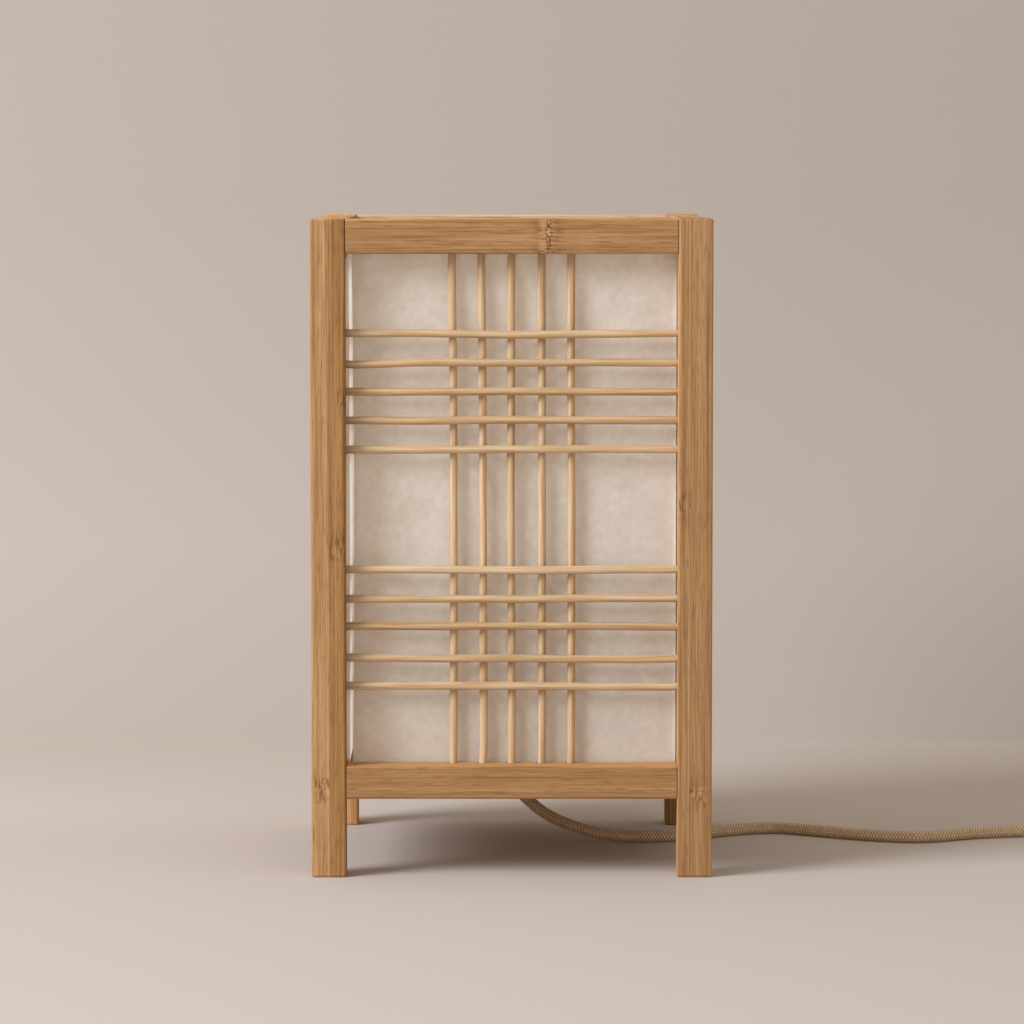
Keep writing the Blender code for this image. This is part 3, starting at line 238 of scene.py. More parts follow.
# Lampholder: a flange and a cup of black phenolic, pressed in a polished mould and screwed
# through the board with two steel screws and nuts. The cup holds a rolled brass sleeve and a
# sprung brass contact, and the cord passes the board in a rubber bushing.
THREAD_PITCH = 3.63 * MM
TURNED_SIDES = 96
THREAD_SIDES = 72
FLANGE = ((4, 49.8), (28.9, 49.8), (28.9, 56.3), (27.4, 57.8), (4, 57.8), (4, 49.8))  # radius, height in mm
CUP = ((0, 58.1), (19.1, 58.1), (19.1, 91.5), (17.6, 93), (15.1, 93), (15.1, 62.1), (0, 62.1))
SLEEVE_ENDS = (62.4 * MM, 89.4 * MM)
SLEEVE_RADII = (14.35 * MM, 13.8 * MM)  # of its outer and inner face, at the thread's roots
SLEEVE_THREAD = 0.22 * MM  # half the thread's depth


def skin(name, grids, along=None, **marks):
    """One mesh over grids of points whose columns run round and close on themselves.

    Faces join each point to the next in its row and in the row after. Along, where given, makes a UV map
    of the share round and the distance along, and marks are attributes with a value for each point.
    """
    mesh = bpy.data.meshes.new(name)
    quads, first = [], 0
    for rows, columns, _ in (grid.shape for grid in grids):
        here = first + np.arange(rows * columns).reshape(rows, columns)
        beside = np.roll(here, -1, axis=1)
        quads.append(np.stack([here[:-1], beside[:-1], beside[1:], here[1:]], axis=-1).reshape(-1, 4))
        first += rows * columns
    points = np.concatenate([grid.reshape(-1, 3) for grid in grids])
    mesh.from_pydata(points.tolist(), [], np.concatenate(quads).tolist())
    for mark, values in marks.items():
        kind, field = ("FLOAT_VECTOR", "vector") if values.ndim == 2 else ("FLOAT", "value")
        attribute = mesh.attributes.new(mark, kind, "POINT")
        attribute.data.foreach_set(field, values.astype(np.float32).ravel())
    if along is not None:
        columns = grids[0].shape[1]
        low = np.stack(np.meshgrid(np.arange(columns) / columns, along[:-1]), axis=-1)
        high = np.stack(np.meshgrid(np.arange(columns) / columns, along[1:]), axis=-1)
        across = np.array((1 / columns, 0))
        corners = np.stack([low, low + across, high + across, high], axis=2)
        mesh.uv_layers.new(name="UVMap").data.foreach_set("uv", corners.astype(np.float32).ravel())
    shape = bmesh.new()
    shape.from_mesh(mesh)
    bmesh.ops.remove_doubles(shape, verts=shape.verts[:], dist=0.001 * MM)
    bmesh.ops.recalc_face_normals(shape, faces=shape.faces[:])
    shape.to_mesh(mesh)
    shape.free()
    mesh.shade_smooth()
    mesh.set_sharp_from_angle(angle=np.radians(40))
    return mesh


def new_piece(name, mesh, surface, slot, *nodes, body="lamp"):
    """Links a piece that stands for these CAD nodes and rides on their body."""
    mesh.materials.append(surface)
    piece = bpy.data.objects.new(name, mesh)
    scene.collection.objects.link(piece)
    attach(piece, body)
    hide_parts(*nodes)
    return piece


def turned_grid(profile, sides, ripple=0.0):
    """A profile of radius r and height turned about Z: x is r cos a, y is r sin a. Ripple is added to r."""
    radius, height = np.array(profile, float).T
    angle = np.arange(sides) * 2 * np.pi / sides
    reach = radius[:, None] + ripple * np.ones(sides)
    tall = np.broadcast_to(height[:, None], reach.shape)
    return np.stack([reach * np.cos(angle), reach * np.sin(angle), tall], axis=-1)


def thread_wave(height, sides):
    """A screw thread: the cosine of the turn round the axis less one turn for each pitch of height."""
    angle = np.arange(sides) * 2 * np.pi / sides
    return np.cos(angle - 2 * np.pi * height[:, None] / THREAD_PITCH)


def round_off(piece, width):
    """Rounds a piece's sharp edges."""
    bevel = piece.modifiers.new("rounding", "BEVEL")
    bevel.width = width
    bevel.segments = 3
    bevel.limit_method = "ANGLE"
    bevel.angle_limit = np.radians(35)


def moulded(name, dark, light, roughness, swirl, grit):
    """A moulded finish: two close shades in slow swirls of the melt, and the mould's fine grit, in mm."""
    surface = new_finish(name)
    spot = add_node(surface, "TexCoord").outputs["Object"]
    melt = {"Vector": spot, "Scale": 1 / (swirl * MM), "Detail": 3, "Distortion": 1.5}
    melt = add_node(surface, "TexNoise", melt)
    shades = add_node(surface, "ValToRGB", {0: melt}, stops=((0.35, dark), (0.65, light)))
    sand = add_node(surface, "TexNoise", {"Vector": spot, "Scale": 1 / (grit * MM), "Detail": 2})
    sheen = {"Value": sand, "To Min": roughness - 0.08, "To Max": roughness + 0.08}
    sheen = add_node(surface, "MapRange", sheen)
    relief = add_node(surface, "Bump", {"Height": sand, "Strength": 0.2, "Distance": 0.06 * MM})
    cast = {"Base Color": shades, "Roughness": sheen, "Normal": relief}
    cast = add_node(surface, "BsdfPrincipled", cast)
    add_node(surface, "OutputMaterial", {0: cast})
    return surface


def metal(name, dark, light, roughness, stretch):
    """A metal finish: drawn or turned marks as a noise stretched in mm, with dull and bright patches."""
    surface = new_finish(name)
    spot = add_node(surface, "TexCoord").outputs["Object"]
    size = {"Vector": spot, "Scale": tuple(1 / (part * MM) for part in stretch)}
    size = add_node(surface, "Mapping", size)
    marks = add_node(surface, "TexNoise", {"Vector": size, "Scale": 1, "Detail": 4})
    patches = add_node(surface, "TexNoise", {"Vector": spot, "Scale": 1 / (6 * MM), "Detail": 3})
    shades = add_node(surface, "ValToRGB", {0: patches}, stops=((0.35, dark), (0.65, light)))
    polish = {"Value": marks, "To Min": roughness - 0.1, "To Max": roughness + 0.12}
    polish = add_node(surface, "MapRange", polish)
    relief = add_node(surface, "Bump", {"Height": marks, "Strength": 0.15, "Distance": 0.03 * MM})
    bare = {"Base Color": shades, "Metallic": 1.0, "Roughness": polish, "Normal": relief}
    bare = add_node(surface, "BsdfPrincipled", bare)
    add_node(surface, "OutputMaterial", {0: bare})
    return surface


# Phenolic has a deep gloss with brown clouds, brass is yellow with lines from the rollers, zinc is
# grey and a little cloudy, and rubber is a dull black.
phenolic = moulded("pressed_black_phenolic", "#171413", "#241f1c", 0.32, 14, 0.5)
brass = metal("rolled_brass", "#a8803c", "#c9a45c", 0.34, (3, 3, 0.25))
zinc = metal("zinc_plated_steel", "#8f9294", "#b5b7b8", 0.4, (0.5, 0.5, 0.5))
rubber = moulded("moulded_black_rubber", "#161616", "#222120", 0.72, 9, 0.35)
dress(brass, "centre_contact")
dress(zinc, "holder_screw_1", "holder_screw_2", "holder_nut_1", "holder_nut_2")
dress(rubber, "cord_bushing")
for node_name, profile in (("lampholder_flange", FLANGE), ("lampholder_body", CUP)):
    mesh = skin(f"phenolic_{node_name}", [turned_grid(np.array(profile) * MM, TURNED_SIDES)])
    piece = new_piece(f"phenolic_{node_name}", mesh, phenolic, "black_phenolic", node_name)
    round_off(piece, 0.7 * MM)
sleeve_rise = np.linspace(*SLEEVE_ENDS, 80)
sleeve_wave = SLEEVE_THREAD * (1 - thread_wave(sleeve_rise, THREAD_SIDES))
sleeve_outer, sleeve_inner = (
    turned_grid([(radius, z) for z in sleeve_rise], THREAD_SIDES, sleeve_wave) for radius in SLEEVE_RADII
)
sleeve_grid = np.concatenate([sleeve_outer, sleeve_inner[::-1], sleeve_outer[:1]])
mesh = skin("brass_thread_sleeve", [sleeve_grid])
new_piece("brass_thread_sleeve", mesh, brass, "brass", "thread_sleeve")

# Bulb: a globe of blown opal glass on a rolled aluminium screw cap, with a soldered foot contact.
# It screws into the lampholder, and the three turn and rise together.
BULB_UNDER = 66.7 * MM
BULB_RADIUS = 30 * MM
GLOBE_MIDDLE = BULB_UNDER + 75 * MM
CAP_RADIUS = 13.2 * MM
CAP_ENDS = (70.0 * MM, 92.0 * MM)
CAP_TAPER = 5 * MM
CAP_FOOT_RADIUS = 4.8 * MM
CAP_THREAD_ENDS = (75 * MM, 89.5 * MM)
CAP_THREAD_FADE = 1.5 * MM  # the height over which the thread starts and ends
CAP_THREAD = 0.3 * MM  # half the thread's depth
GLASS_UNDER = 92.3 * MM
GLASS_WALL = 0.8 * MM
NECK_STRAIGHT = 4 * MM


def glass_outline(inset):
    """The globe from its crown: an arc of 130 degrees, then a cubic from it to the upright neck."""
    end = np.radians(130)
    arc = np.linspace(0, end, 36)
    globe = np.column_stack([np.sin(arc), np.cos(arc)]) * (BULB_RADIUS - inset) + (0, GLOBE_MIDDLE)
    neck = np.array((CAP_RADIUS - inset, GLASS_UNDER + NECK_STRAIGHT))
    drop = globe[-1, 1] - neck[1]
    leave = globe[-1] + drop / 2 * np.array((np.cos(end), -np.sin(end)))
    arrive = neck + (0, drop / 3)
    t = np.linspace(0, 1, 14)[1:, None]
    curve = (1 - t) ** 3 * globe[-1] + 3 * (1 - t) ** 2 * t * leave
    curve += 3 * (1 - t) * t**2 * arrive + t**3 * neck
    return np.concatenate([globe, curve, [(CAP_RADIUS - inset, GLASS_UNDER)]])


# Opal glass: milky white, smooth and glossy, and it lets light through without showing what is behind it.
opal = new_finish("blown_opal_glass")
cords = {"Vector": add_node(opal, "TexCoord").outputs["Object"], "Scale": 1 / (18 * MM), "Detail": 2}
cords = add_node(opal, "TexNoise", cords)
milk = add_node(opal, "ValToRGB", {0: cords}, stops=((0.35, "#eeeae2"), (0.65, "#f5f2ec")))
ripples = add_node(opal, "Bump", {"Height": cords, "Strength": 0.06, "Distance": 0.3 * MM})
gloss = add_node(opal, "BsdfPrincipled", {"Base Color": milk, "Roughness": 0.12, "Normal": ripples})
through = add_node(opal, "BsdfTranslucent", {"Color": milk})
add_node(opal, "OutputMaterial", {0: add_node(opal, "MixShader", {0: 0.35, 1: gloss, 2: through})})
glass = np.concatenate([glass_outline(0), glass_outline(GLASS_WALL)[::-1]])
mesh = skin("opal_globe", [turned_grid(glass, TURNED_SIDES)])
new_piece("opal_globe", mesh, opal, "opal_glass", "bulb_glass", body="bulb")
aluminium = metal("rolled_aluminium", "#b4b5b6", "#cfd0d1", 0.32, (4, 4, 0.25))  # pale, with rolled lines
cap_rise = np.linspace(*CAP_ENDS, 110)
cap_taper = np.clip((cap_rise - CAP_ENDS[0]) / CAP_TAPER, 0, 1)
cap_radius = CAP_FOOT_RADIUS + (CAP_RADIUS - CAP_FOOT_RADIUS) * cap_taper
cap_hold = np.clip((cap_rise - CAP_THREAD_ENDS[0]) / CAP_THREAD_FADE, 0, 1)
cap_hold *= np.clip((CAP_THREAD_ENDS[1] - cap_rise) / CAP_THREAD_FADE, 0, 1)
cap_wave = -CAP_THREAD * (1 - thread_wave(cap_rise, THREAD_SIDES)) * cap_hold[:, None]
cap_grid = turned_grid(np.column_stack([cap_radius, cap_rise]), THREAD_SIDES, cap_wave)
cap_ends = [turned_grid([(0, z)], THREAD_SIDES) for z in CAP_ENDS]
mesh = skin("aluminium_screw_cap", [np.concatenate([cap_ends[0], cap_grid, cap_ends[1]])])
new_piece("aluminium_screw_cap", mesh, aluminium, "bulb_aluminium", "bulb_cap", body="bulb")
solder = metal("dull_solder", "#7d7d7a", "#a3a39e", 0.45, (1.2, 1.2, 1.2))  # grey, cooled in soft lumps
dress(solder, "bulb_foot_contact")

# Lattice: round sticks split from paler bamboo and scraped by hand, so none is quite straight or even.
# The uprights stand in the rails, and the level ones cross in front of them and end in the posts.
STICK_RADIUS = 2.1 * MM
STICK_SIDES = 18
UPRIGHT_PLACES = np.arange(-2, 3) * 14.75 * MM
LEVEL_PLACES = np.concatenate([np.arange(-4, 1) * 14.6 - 30, np.arange(0, 5) * 14.6 + 30])
LEVEL_PLACES = 183.7 * MM + LEVEL_PLACES * MM
UPRIGHT_ENDS = (52.8 * MM, 314.6 * MM)
LEVEL_HALF = 86.8 * MM
FRONT_DEPTHS = (85.9 * MM, 90.4 * MM)  # of the uprights and the level sticks, from the lamp's middle
OTHER_DEPTHS = (86.1 * MM, 90.2 * MM)
END_SHADOW_WHOLE = 5 * MM  # from the first end, a painted shadow
END_SHADOW_FADE = 2 * MM
QUARTER_TURN = np.array(((0, -1, 0), (1, 0, 0), (0, 0, 1.0)))  # from the front to the right side


def smooth_route(points, steps):
    """Catmull-Rom curve: on each span the four nearest points, weighted by cubics of the share along it."""
    padded = np.vstack([2 * points[0] - points[1], points, 2 * points[-1] - points[-2]])
    before, start, end, after = padded[:-3], padded[1:-2], padded[2:-1], padded[3:]
    t = (np.arange(steps) / steps)[:, None, None]
    pull = (end - before) * t + (2 * before - 5 * start + 4 * end - after) * t**2
    swing = (3 * start - before - 3 * end + after) * t**3
    route = (start + (pull + swing) / 2).transpose(1, 0, 2).reshape(-1, 3)
    return np.vstack([route, points[-1]])


def tube_grid(path, radius, sides, reference):
    """Rings across a path: the path plus radius times (cos a, sin a) in the plane across it.

    The ring's first direction is the reference with its part along the path taken off. A ring of no size
    at each end closes the tube.
    """
    tangent = np.gradient(path, axis=0)
    tangent /= np.linalg.norm(tangent, axis=1)[:, None]
    first = reference - tangent * (tangent @ np.array(reference))[:, None]
    first /= np.linalg.norm(first, axis=1)[:, None]
    second = np.cross(tangent, first)
    angle = np.arange(sides) * 2 * np.pi / sides
    spokes = first[:, None] * np.cos(angle)[:, None] + second[:, None] * np.sin(angle)[:, None]
    reach = np.broadcast_to(np.asarray(radius, float), (len(path), sides))
    rings = path[:, None] + spokes * reach[..., None]
    ends = [np.repeat(path[None, i : i + 1], sides, axis=1) for i in (0, len(path) - 1)]
    return np.concatenate([ends[0], rings, ends[1]])


def stick_grid(start, end, side, bow, seed):
    """A round stick along a line, bowed sideways and scraped unevenly.

    Its middle line moves by the bow's five distances at shares 0.05, 0.25, 0.5, 0.75 and 0.95 of the
    length, on a smooth curve that is back on the line at the ends. Its radius changes by a few per cent in
    two slow waves along it, one of which also goes round it. Also gives each point's place in the stick's
    own frame: across both ways, and along.
    """
    chance = np.random.default_rng(seed)
    share = np.linspace(0, 1, 61)
    line = start + (end - start) * share[:, None]
    knots = np.zeros((7, 3))
    knots[:, 0] = (0, 0.05, 0.25, 0.5, 0.75, 0.95, 1)
    knots[1:-1, 1] = bow
    curve = smooth_route(knots, 20)
    line = line + np.interp(share, curve[:, 0], curve[:, 1])[:, None] * side
    angle = np.arange(STICK_SIDES) * 2 * np.pi / STICK_SIDES
    first, second, turn = chance.uniform(0, 2 * np.pi, 3)
    waves = 0.7 * np.sin(23 * share + second)[:, None] * np.cos(2 * angle + turn)
    waves += np.sin(9 * share + first)[:, None]
    radius = STICK_RADIUS * (0.96 + 0.018 * waves)
    grid = tube_grid(line, radius, STICK_SIDES, np.array((0, 1.0, 0)))
    length = np.linalg.norm(end - start)
    own = np.zeros(grid.shape)
    own[..., 0] = np.cos(angle) * STICK_RADIUS
    own[..., 1] = np.sin(angle) * STICK_RADIUS
    own[..., 2] = chance.uniform(0, 9) + length * np.concatenate([share[:1], share, share[-1:]])[:, None]
    return grid, own


# Scraped bamboo: pale straw to honey, a different shade from stick to stick, with long fine streaks
# that follow each stick, a soft wax gloss, and a painted shadow at one end, where the post shades it.
split = new_finish("scraped_split_bamboo")
own = add_node(split, "Attribute", attribute_name="stick_place").outputs["Vector"]
tone = add_node(split, "Attribute", attribute_name="stick_tone").outputs["Fac"]
streaks = []
for width, length in ((0.9, 25), (2.2, 80)):  # mm of a streak and of a slow change of shade
    size = {0: own, 1: (1 / (width * MM), 1 / (width * MM), 1 / (length * MM))}
    size = add_node(split, "VectorMath", size, operation="MULTIPLY")
    streaks.append(add_node(split, "TexNoise", {"Vector": size, "Scale": 1, "Detail": 4}))
streak = add_node(split, "Math", {0: streaks[0], 1: 0.65, 2: tone}, operation="MULTIPLY_ADD")
streak = add_node(split, "Math", {0: streaks[1], 1: 0.5, 2: streak}, operation="MULTIPLY_ADD")
honey = ((0.42, "#a57e51"), (0.68, "#c5a47c"), (0.95, "#dac4a5"))
straw = add_node(split, "ValToRGB", {0: streak}, stops=honey)
# Painted shadow: the level sticks are darker at their first ends, where the post shades them.
darkening = add_node(split, "Attribute", attribute_name="stick_end_shadow").outputs["Fac"]
darkening = add_node(split, "Math", {0: darkening, 1: 0.55}, operation="MULTIPLY")
straw = add_node(split, "Mix", {0: darkening, 6: straw, 7: colour("#75583f")}, data_type="RGBA").outputs[2]
scrape = add_node(split, "Bump", {"Height": streaks[0], "Strength": 0.2, "Distance": 0.1 * MM})
waxed = {"Base Color": straw, "Roughness": 0.45, "Normal": scrape, "Specular IOR Level": 0.4}
waxed = add_node(split, "BsdfPrincipled", waxed)
add_node(split, "OutputMaterial", {0: waxed})

# The front sticks' shades and bows, the uprights from the left and the level ones from the lowest up.
UPRIGHT_TONES = (0.12, 0.1, 0.06, 0.08, 0.08)
LEVEL_TONES = (0.08, 0.03, -0.05, 0.05, 0.14, 0.1, 0.0, 0.0, 0.04, 0.09)
UPRIGHT_BOWS = (  # mm to the right
    (0.4, 0.55, 0.6, 0.4, -0.3),
    (0.8, 0.6, 0.5, 0.2, -0.3),
    (0.2, 0, -0.3, -0.2, -0.1),
    (0.6, 0.5, 0.5, 0.4, 0.2),
    (0.5, 0.4, 0.5, 0.2, 0.2),
)
LEVEL_BOWS = (  # mm up
    (0.1, 0, 0, -0.4, -0.4),
    (-0.4, -0.8, -0.7, -1.2, -1),
    (1, 0.8, 1, 0.8, 0.6),
    (0, 0, -0.1, 0.2, 0.2),
    (0.1, 0.1, -0.3, 0, 0.1),
    (0.1, 0, 0.3, 0.4, 0.2),
    (0.1, -0.1, 0.4, 0.1, 0.1),
    (-0.2, -0.2, 0, -0.1, -0.2),
    (-1.3, -0.2, -0.4, -0.2, -0.3),
    (-0.3, -0.3, -1, -0.6, -0.3),
)


def ease(share):
    """A smooth step from 0 to 1, three times its square less twice its cube."""
    share = np.clip(share, 0, 1)
    return share * share * (3 - 2 * share)


def stick_piece(name, parts, tones, *nodes):
    """One piece from its sticks' grids, with their places, their shades and a painted shadow at a first
    end.
    """
    grids = [grid for grid, _, _ in parts]
    places = np.concatenate([own.reshape(-1, 3) for _, own, _ in parts])
    shades, end_shadows = [], []
    for (grid, _, shadowed_end), tone in zip(parts, tones):
        along = np.linalg.norm(grid - grid[0, 0], axis=2)
        shades.append(np.full(along.size, tone))
        end_shadows.append(shadowed_end * (1 - ease((along - END_SHADOW_WHOLE) / END_SHADOW_FADE)).ravel())
    marks = {"stick_tone": np.concatenate(shades), "stick_end_shadow": np.concatenate(end_shadows)}
    mesh = skin(name, grids, stick_place=places, **marks)
    return new_piece(name, mesh, split, "split_bamboo", *nodes)


def front_lattice(upright_depth, level_depth, upright_bows, level_bows, seed):
    """Grids of a front lattice's sticks: the uprights, then the level ones, with a painted shadow at their
    first ends.
    """
    parts = []
    for i, (x, bow) in enumerate(zip(UPRIGHT_PLACES, upright_bows)):
        ends = [np.array((x, -upright_depth, z)) for z in UPRIGHT_ENDS]
        parts.append((*stick_grid(*ends, np.array((1.0, 0, 0)), np.array(bow) * MM, seed + i), 0))
    for i, (z, bow) in enumerate(zip(LEVEL_PLACES, level_bows), len(UPRIGHT_PLACES)):
        ends = [np.array((x, -level_depth, z)) for x in (-LEVEL_HALF, LEVEL_HALF)]
        parts.append((*stick_grid(*ends, np.array((0, 0, 1.0)), np.array(bow) * MM, seed + i), 1))
    return parts


front_sticks = front_lattice(*FRONT_DEPTHS, UPRIGHT_BOWS, LEVEL_BOWS, 10)
stick_names = [f"upright_stick_{i}" for i in range(1, 6)]
stick_names += [f"level_stick_{i:02}" for i in range(1, 11)]
for stick_name, part, tone in zip(stick_names, front_sticks, UPRIGHT_TONES + LEVEL_TONES):
    stick_piece(f"scraped_{stick_name}", [part], [tone], stick_name)
for quarter, side in enumerate(("right", "rear", "left"), 1):
    chance = np.random.default_rng(quarter)
    bows = chance.normal(0, 0.3, (15, 5))
    turn = np.linalg.matrix_power(QUARTER_TURN, quarter)
    parts = front_lattice(*OTHER_DEPTHS, bows[:5], bows[5:], 100 * quarter)
    parts = [(grid @ turn.T, own, shadowed_end) for grid, own, shadowed_end in parts]
    stick_piece(f"scraped_lattice_{side}", parts, chance.uniform(-0.08, 0.14, 15), f"lattice_{side}")

# Paper panels: four sheets of mulberry paper glued along the inner faces of the rails, a little
# slack between them, and as wide as leaves a slit at one side.
PAPER_LOW = np.array((-79.8, -82.0, 49.8)) * MM
PAPER_HIGH = np.array((82.3, -82.0, 318.4)) * MM
PAPER_HALF = 0.15 * MM
PAPER_SWELL = 0.5 * MM
EASE_FROM, EASE_OUT = 0.97, 0.4 * MM  # the share of the width, and how far the edge eases outwards
CURL_FROM, CURL_OUT = 0.988, 0.8 * MM
DRAWN_IN = 0.9 * MM


def paper_grid(seed):
    """The front sheet, both faces: a flat rectangle that swells inwards by up to half a millimetre.

    The swell is a sum of slow waves across and up the sheet, times a bump that is nothing at its glued
    ends. Between the rails its last 5 mm ease outwards to the post and the last 2 mm curl after them, by a
    square law. Its other edge is drawn in a little at half height. The columns run along the front face and
    back along the inner one, and the first and last rows close the two together. Also gives each point's
    place on the flat sheet.
    """
    chance = np.random.default_rng(seed)
    columns = np.linspace(0, EASE_FROM, 45), (0.975, 0.98, 0.985), np.linspace(CURL_FROM, 1, 7)
    columns = np.concatenate(columns)
    u, v = np.meshgrid(columns, np.linspace(0, 1, 81))
    swell = np.zeros(u.shape)
    for along_u, along_v in ((1, 2), (2, 1), (3, 4), (2, 5), (5, 3)):
        phase = chance.uniform(0, 2 * np.pi, 2)
        swell += np.sin(np.pi * along_u * u + phase[0]) * np.sin(np.pi * along_v * v + phase[1])
    swell = (swell / 5 + 0.5) * PAPER_SWELL * np.sin(np.pi * v) ** 0.6
    middle = PAPER_LOW + (PAPER_HIGH - PAPER_LOW) * np.stack([u, np.zeros(u.shape), v], axis=-1)
    between = ease((v - 0.025) / 0.02) * ease((0.975 - v) / 0.02)
    curl = EASE_OUT * ease((u - EASE_FROM) / (1 - EASE_FROM))
    curl += CURL_OUT * np.clip((u - CURL_FROM) / (1 - CURL_FROM), 0, 1) ** 2
    middle[..., 1] += swell - curl * between
    middle[..., 0] += DRAWN_IN * (1 - u) * np.sin(np.pi * v)
    middle = np.concatenate([middle[:1], middle, middle[-1:]])
    half = np.full((len(middle), 1, 1), PAPER_HALF) * np.array((0, 1.0, 0))
    half[[0, -1]] = 0
    faces = np.concatenate([middle - half, (middle + half)[:, ::-1]], axis=1)
    return faces, faces * (1, 0, 1)


# Mulberry paper: matt and off-white, with faint clouds of pulp and long threads. Light comes through.
washi = new_finish("mulberry_paper")
sheet_place = add_node(washi, "Attribute", attribute_name="paper_place").outputs["Vector"]
clouds = {"Vector": sheet_place, "Scale": 1 / (16 * MM), "Detail": 4, "Roughness": 0.55}
clouds = add_node(washi, "TexNoise", clouds)
flecks = add_node(washi, "TexNoise", {"Vector": sheet_place, "Scale": 1 / (3.5 * MM), "Detail": 3})
flecks = add_node(washi, "Math", {0: flecks, 1: 0.5}, operation="MULTIPLY")
clouds = add_node(washi, "Math", {0: clouds, 1: 0.5, 2: flecks}, operation="MULTIPLY_ADD")
threads = None
for angle, shift in ((25, 0.0), (-50, 0.31), (80, 0.57)):  # a lay of fibres: degrees, place in the pulp
    size = {"Vector": sheet_place, "Rotation": (0, np.radians(angle), 0), "Location": (shift, shift, shift)}
    size = add_node(washi, "Mapping", {**size, "Scale": (1 / (0.9 * MM), 1, 1 / (9 * MM))})
    lay = add_node(washi, "TexNoise", {"Vector": size, "Scale": 1, "Detail": 2, "Distortion": 1.5})
    lay = add_node(washi, "MapRange", {"Value": lay, "From Min": 0.68, "From Max": 0.84})
    if threads is not None:
        lay = add_node(washi, "Math", {0: threads, 1: lay}, operation="MAXIMUM")
    threads = lay
pulp = add_node(washi, "ValToRGB", {0: clouds}, stops=((0.35, "#f1ebe2"), (0.65, "#fdf9f3")))
faint = add_node(washi, "Math", {0: threads, 1: 0.3}, operation="MULTIPLY")
pulp = add_node(washi, "Mix", {0: faint, 6: pulp, 7: colour("#ebdfcf")}, data_type="RGBA").outputs[2]
tooth = add_node(washi, "Math", {0: clouds, 1: 0.6, 2: threads}, operation="MULTIPLY_ADD")
tooth = add_node(washi, "Bump", {"Height": tooth, "Strength": 0.1, "Distance": 0.2 * MM})
matt = {"Base Color": pulp, "Roughness": 0.95, "Specular IOR Level": 0.1, "Normal": tooth}
matt = add_node(washi, "BsdfPrincipled", matt)
glow = add_node(washi, "BsdfTranslucent", {"Color": pulp})
sheet_light = add_node(washi, "MixShader", {0: 0.68, 1: matt, 2: glow})
add_node(washi, "OutputMaterial", {0: sheet_light})

for quarter, side in enumerate(("front", "right", "rear", "left")):
    turn = np.linalg.matrix_power(QUARTER_TURN, quarter)
    faces, place = paper_grid(quarter)
    mesh = skin(f"washi_panel_{side}", [faces @ turn.T], paper_place=place.reshape(-1, 3))
    panel = new_piece(f"washi_panel_{side}", mesh, washi, "mulberry_paper", f"paper_panel_{side}")

# Cord: a 6 mm mains lead in a braided cotton sleeve. It hangs out of its bushing under the base
# board, and lies on the table in loose bends as far as the in-line switch.
CORD_DIAMETER = 6 * MM
CORD_RADIUS = CORD_DIAMETER / 2
CORD_SIDES = 24
CORD_EXIT = (0, 0, 42.1 * MM)
HANGING = (  # x and y in mm, and the share of the drop that is left
    *((0, 0, 1), (0, 0, 0.847), (1.3, 0.3, 0.79), (4, 1, 0.69), (8.6, 2, 0.565)),
    *((17, 4, 0.383), (27.5, 7.5, 0.235), (43, 12, 0.09), (57, 16.5, 0.025)),
)
ON_TABLE = (  # x and y in mm
    *((72.7, 20), (84.4, 22.8), (95.2, 29), (106.1, 36.8), (121.4, 46), (133.5, 51), (146, 50.5)),
    *((165.7, 38.6), (186.5, 26.2), (208, 18.4), (222, 20), (242, 31), (257, 36.6), (272, 39.7)),
)
SWITCH_START = np.array((300, 43, 8.5)) * MM  # where the cord enters the switch
SWITCH_LENGTH = 78 * MM
BUTT_GAP = 0.3 * MM  # between a cord's end and the housing that it enters
RISE = (282, 41.7, 0.4)  # x and y in mm, and the share of the rise to the switch


def lengths_along(path):
    """Distance along a path to each of its points: the running sum of the steps."""
    return np.concatenate([[0], np.cumsum(np.linalg.norm(np.diff(path, axis=0), axis=1))])


def even_steps(path, step):
    """The same path read at equal distances along it."""
    along = lengths_along(path)
    places = np.linspace(0, along[-1], round(along[-1] / step) + 1)
    return np.stack([np.interp(places, along, path[:, axis]) for axis in range(3)], axis=1)


# Braided cotton: six pairs of strands cross at a steep lay, so the surface is rows of small pillows
# 1.7 mm long, dull and fuzzy, with painted shade in the gaps, a painted highlight on the pillows' tops,
# and the two lays of yarn a shade apart as a painted sheen.
STRANDS = 6
STRAND_PITCH = 1.7 * MM
cotton = new_finish("braided_cotton_sleeve")
wrap = add_node(cotton, "SeparateXYZ", {0: add_node(cotton, "TexCoord").outputs["UV"]})
turns = add_node(cotton, "Math", {0: wrap.outputs[0], 1: STRANDS}, operation="MULTIPLY")
rows = add_node(cotton, "Math", {0: wrap.outputs[1], 1: STRAND_PITCH}, operation="DIVIDE")
left_lay = add_node(cotton, "Math", {0: turns, 1: rows}, operation="ADD")
right_lay = add_node(cotton, "Math", {0: turns, 1: rows}, operation="SUBTRACT")
swell = []
for lay in (left_lay, right_lay):
    share = add_node(cotton, "Math", {0: lay}, operation="FRACT")
    half_turn = add_node(cotton, "Math", {0: share, 1: np.pi}, operation="MULTIPLY")
    swell.append(add_node(cotton, "Math", {0: half_turn}, operation="SINE"))
pillow = add_node(cotton, "Math", {0: swell[0], 1: swell[1]}, operation="MULTIPLY")
floors = [add_node(cotton, "Math", {0: lay}, operation="FLOOR") for lay in (left_lay, right_lay)]
crossing = add_node(cotton, "Math", {0: floors[0], 1: floors[1]}, operation="ADD")
over = add_node(cotton, "Math", {0: crossing, 1: 2}, operation="FLOORED_MODULO")
fuzz = {"Vector": add_node(cotton, "TexCoord").outputs["Object"], "Scale": 1 / (2.5 * MM), "Detail": 3}
fuzz = add_node(cotton, "TexNoise", fuzz)
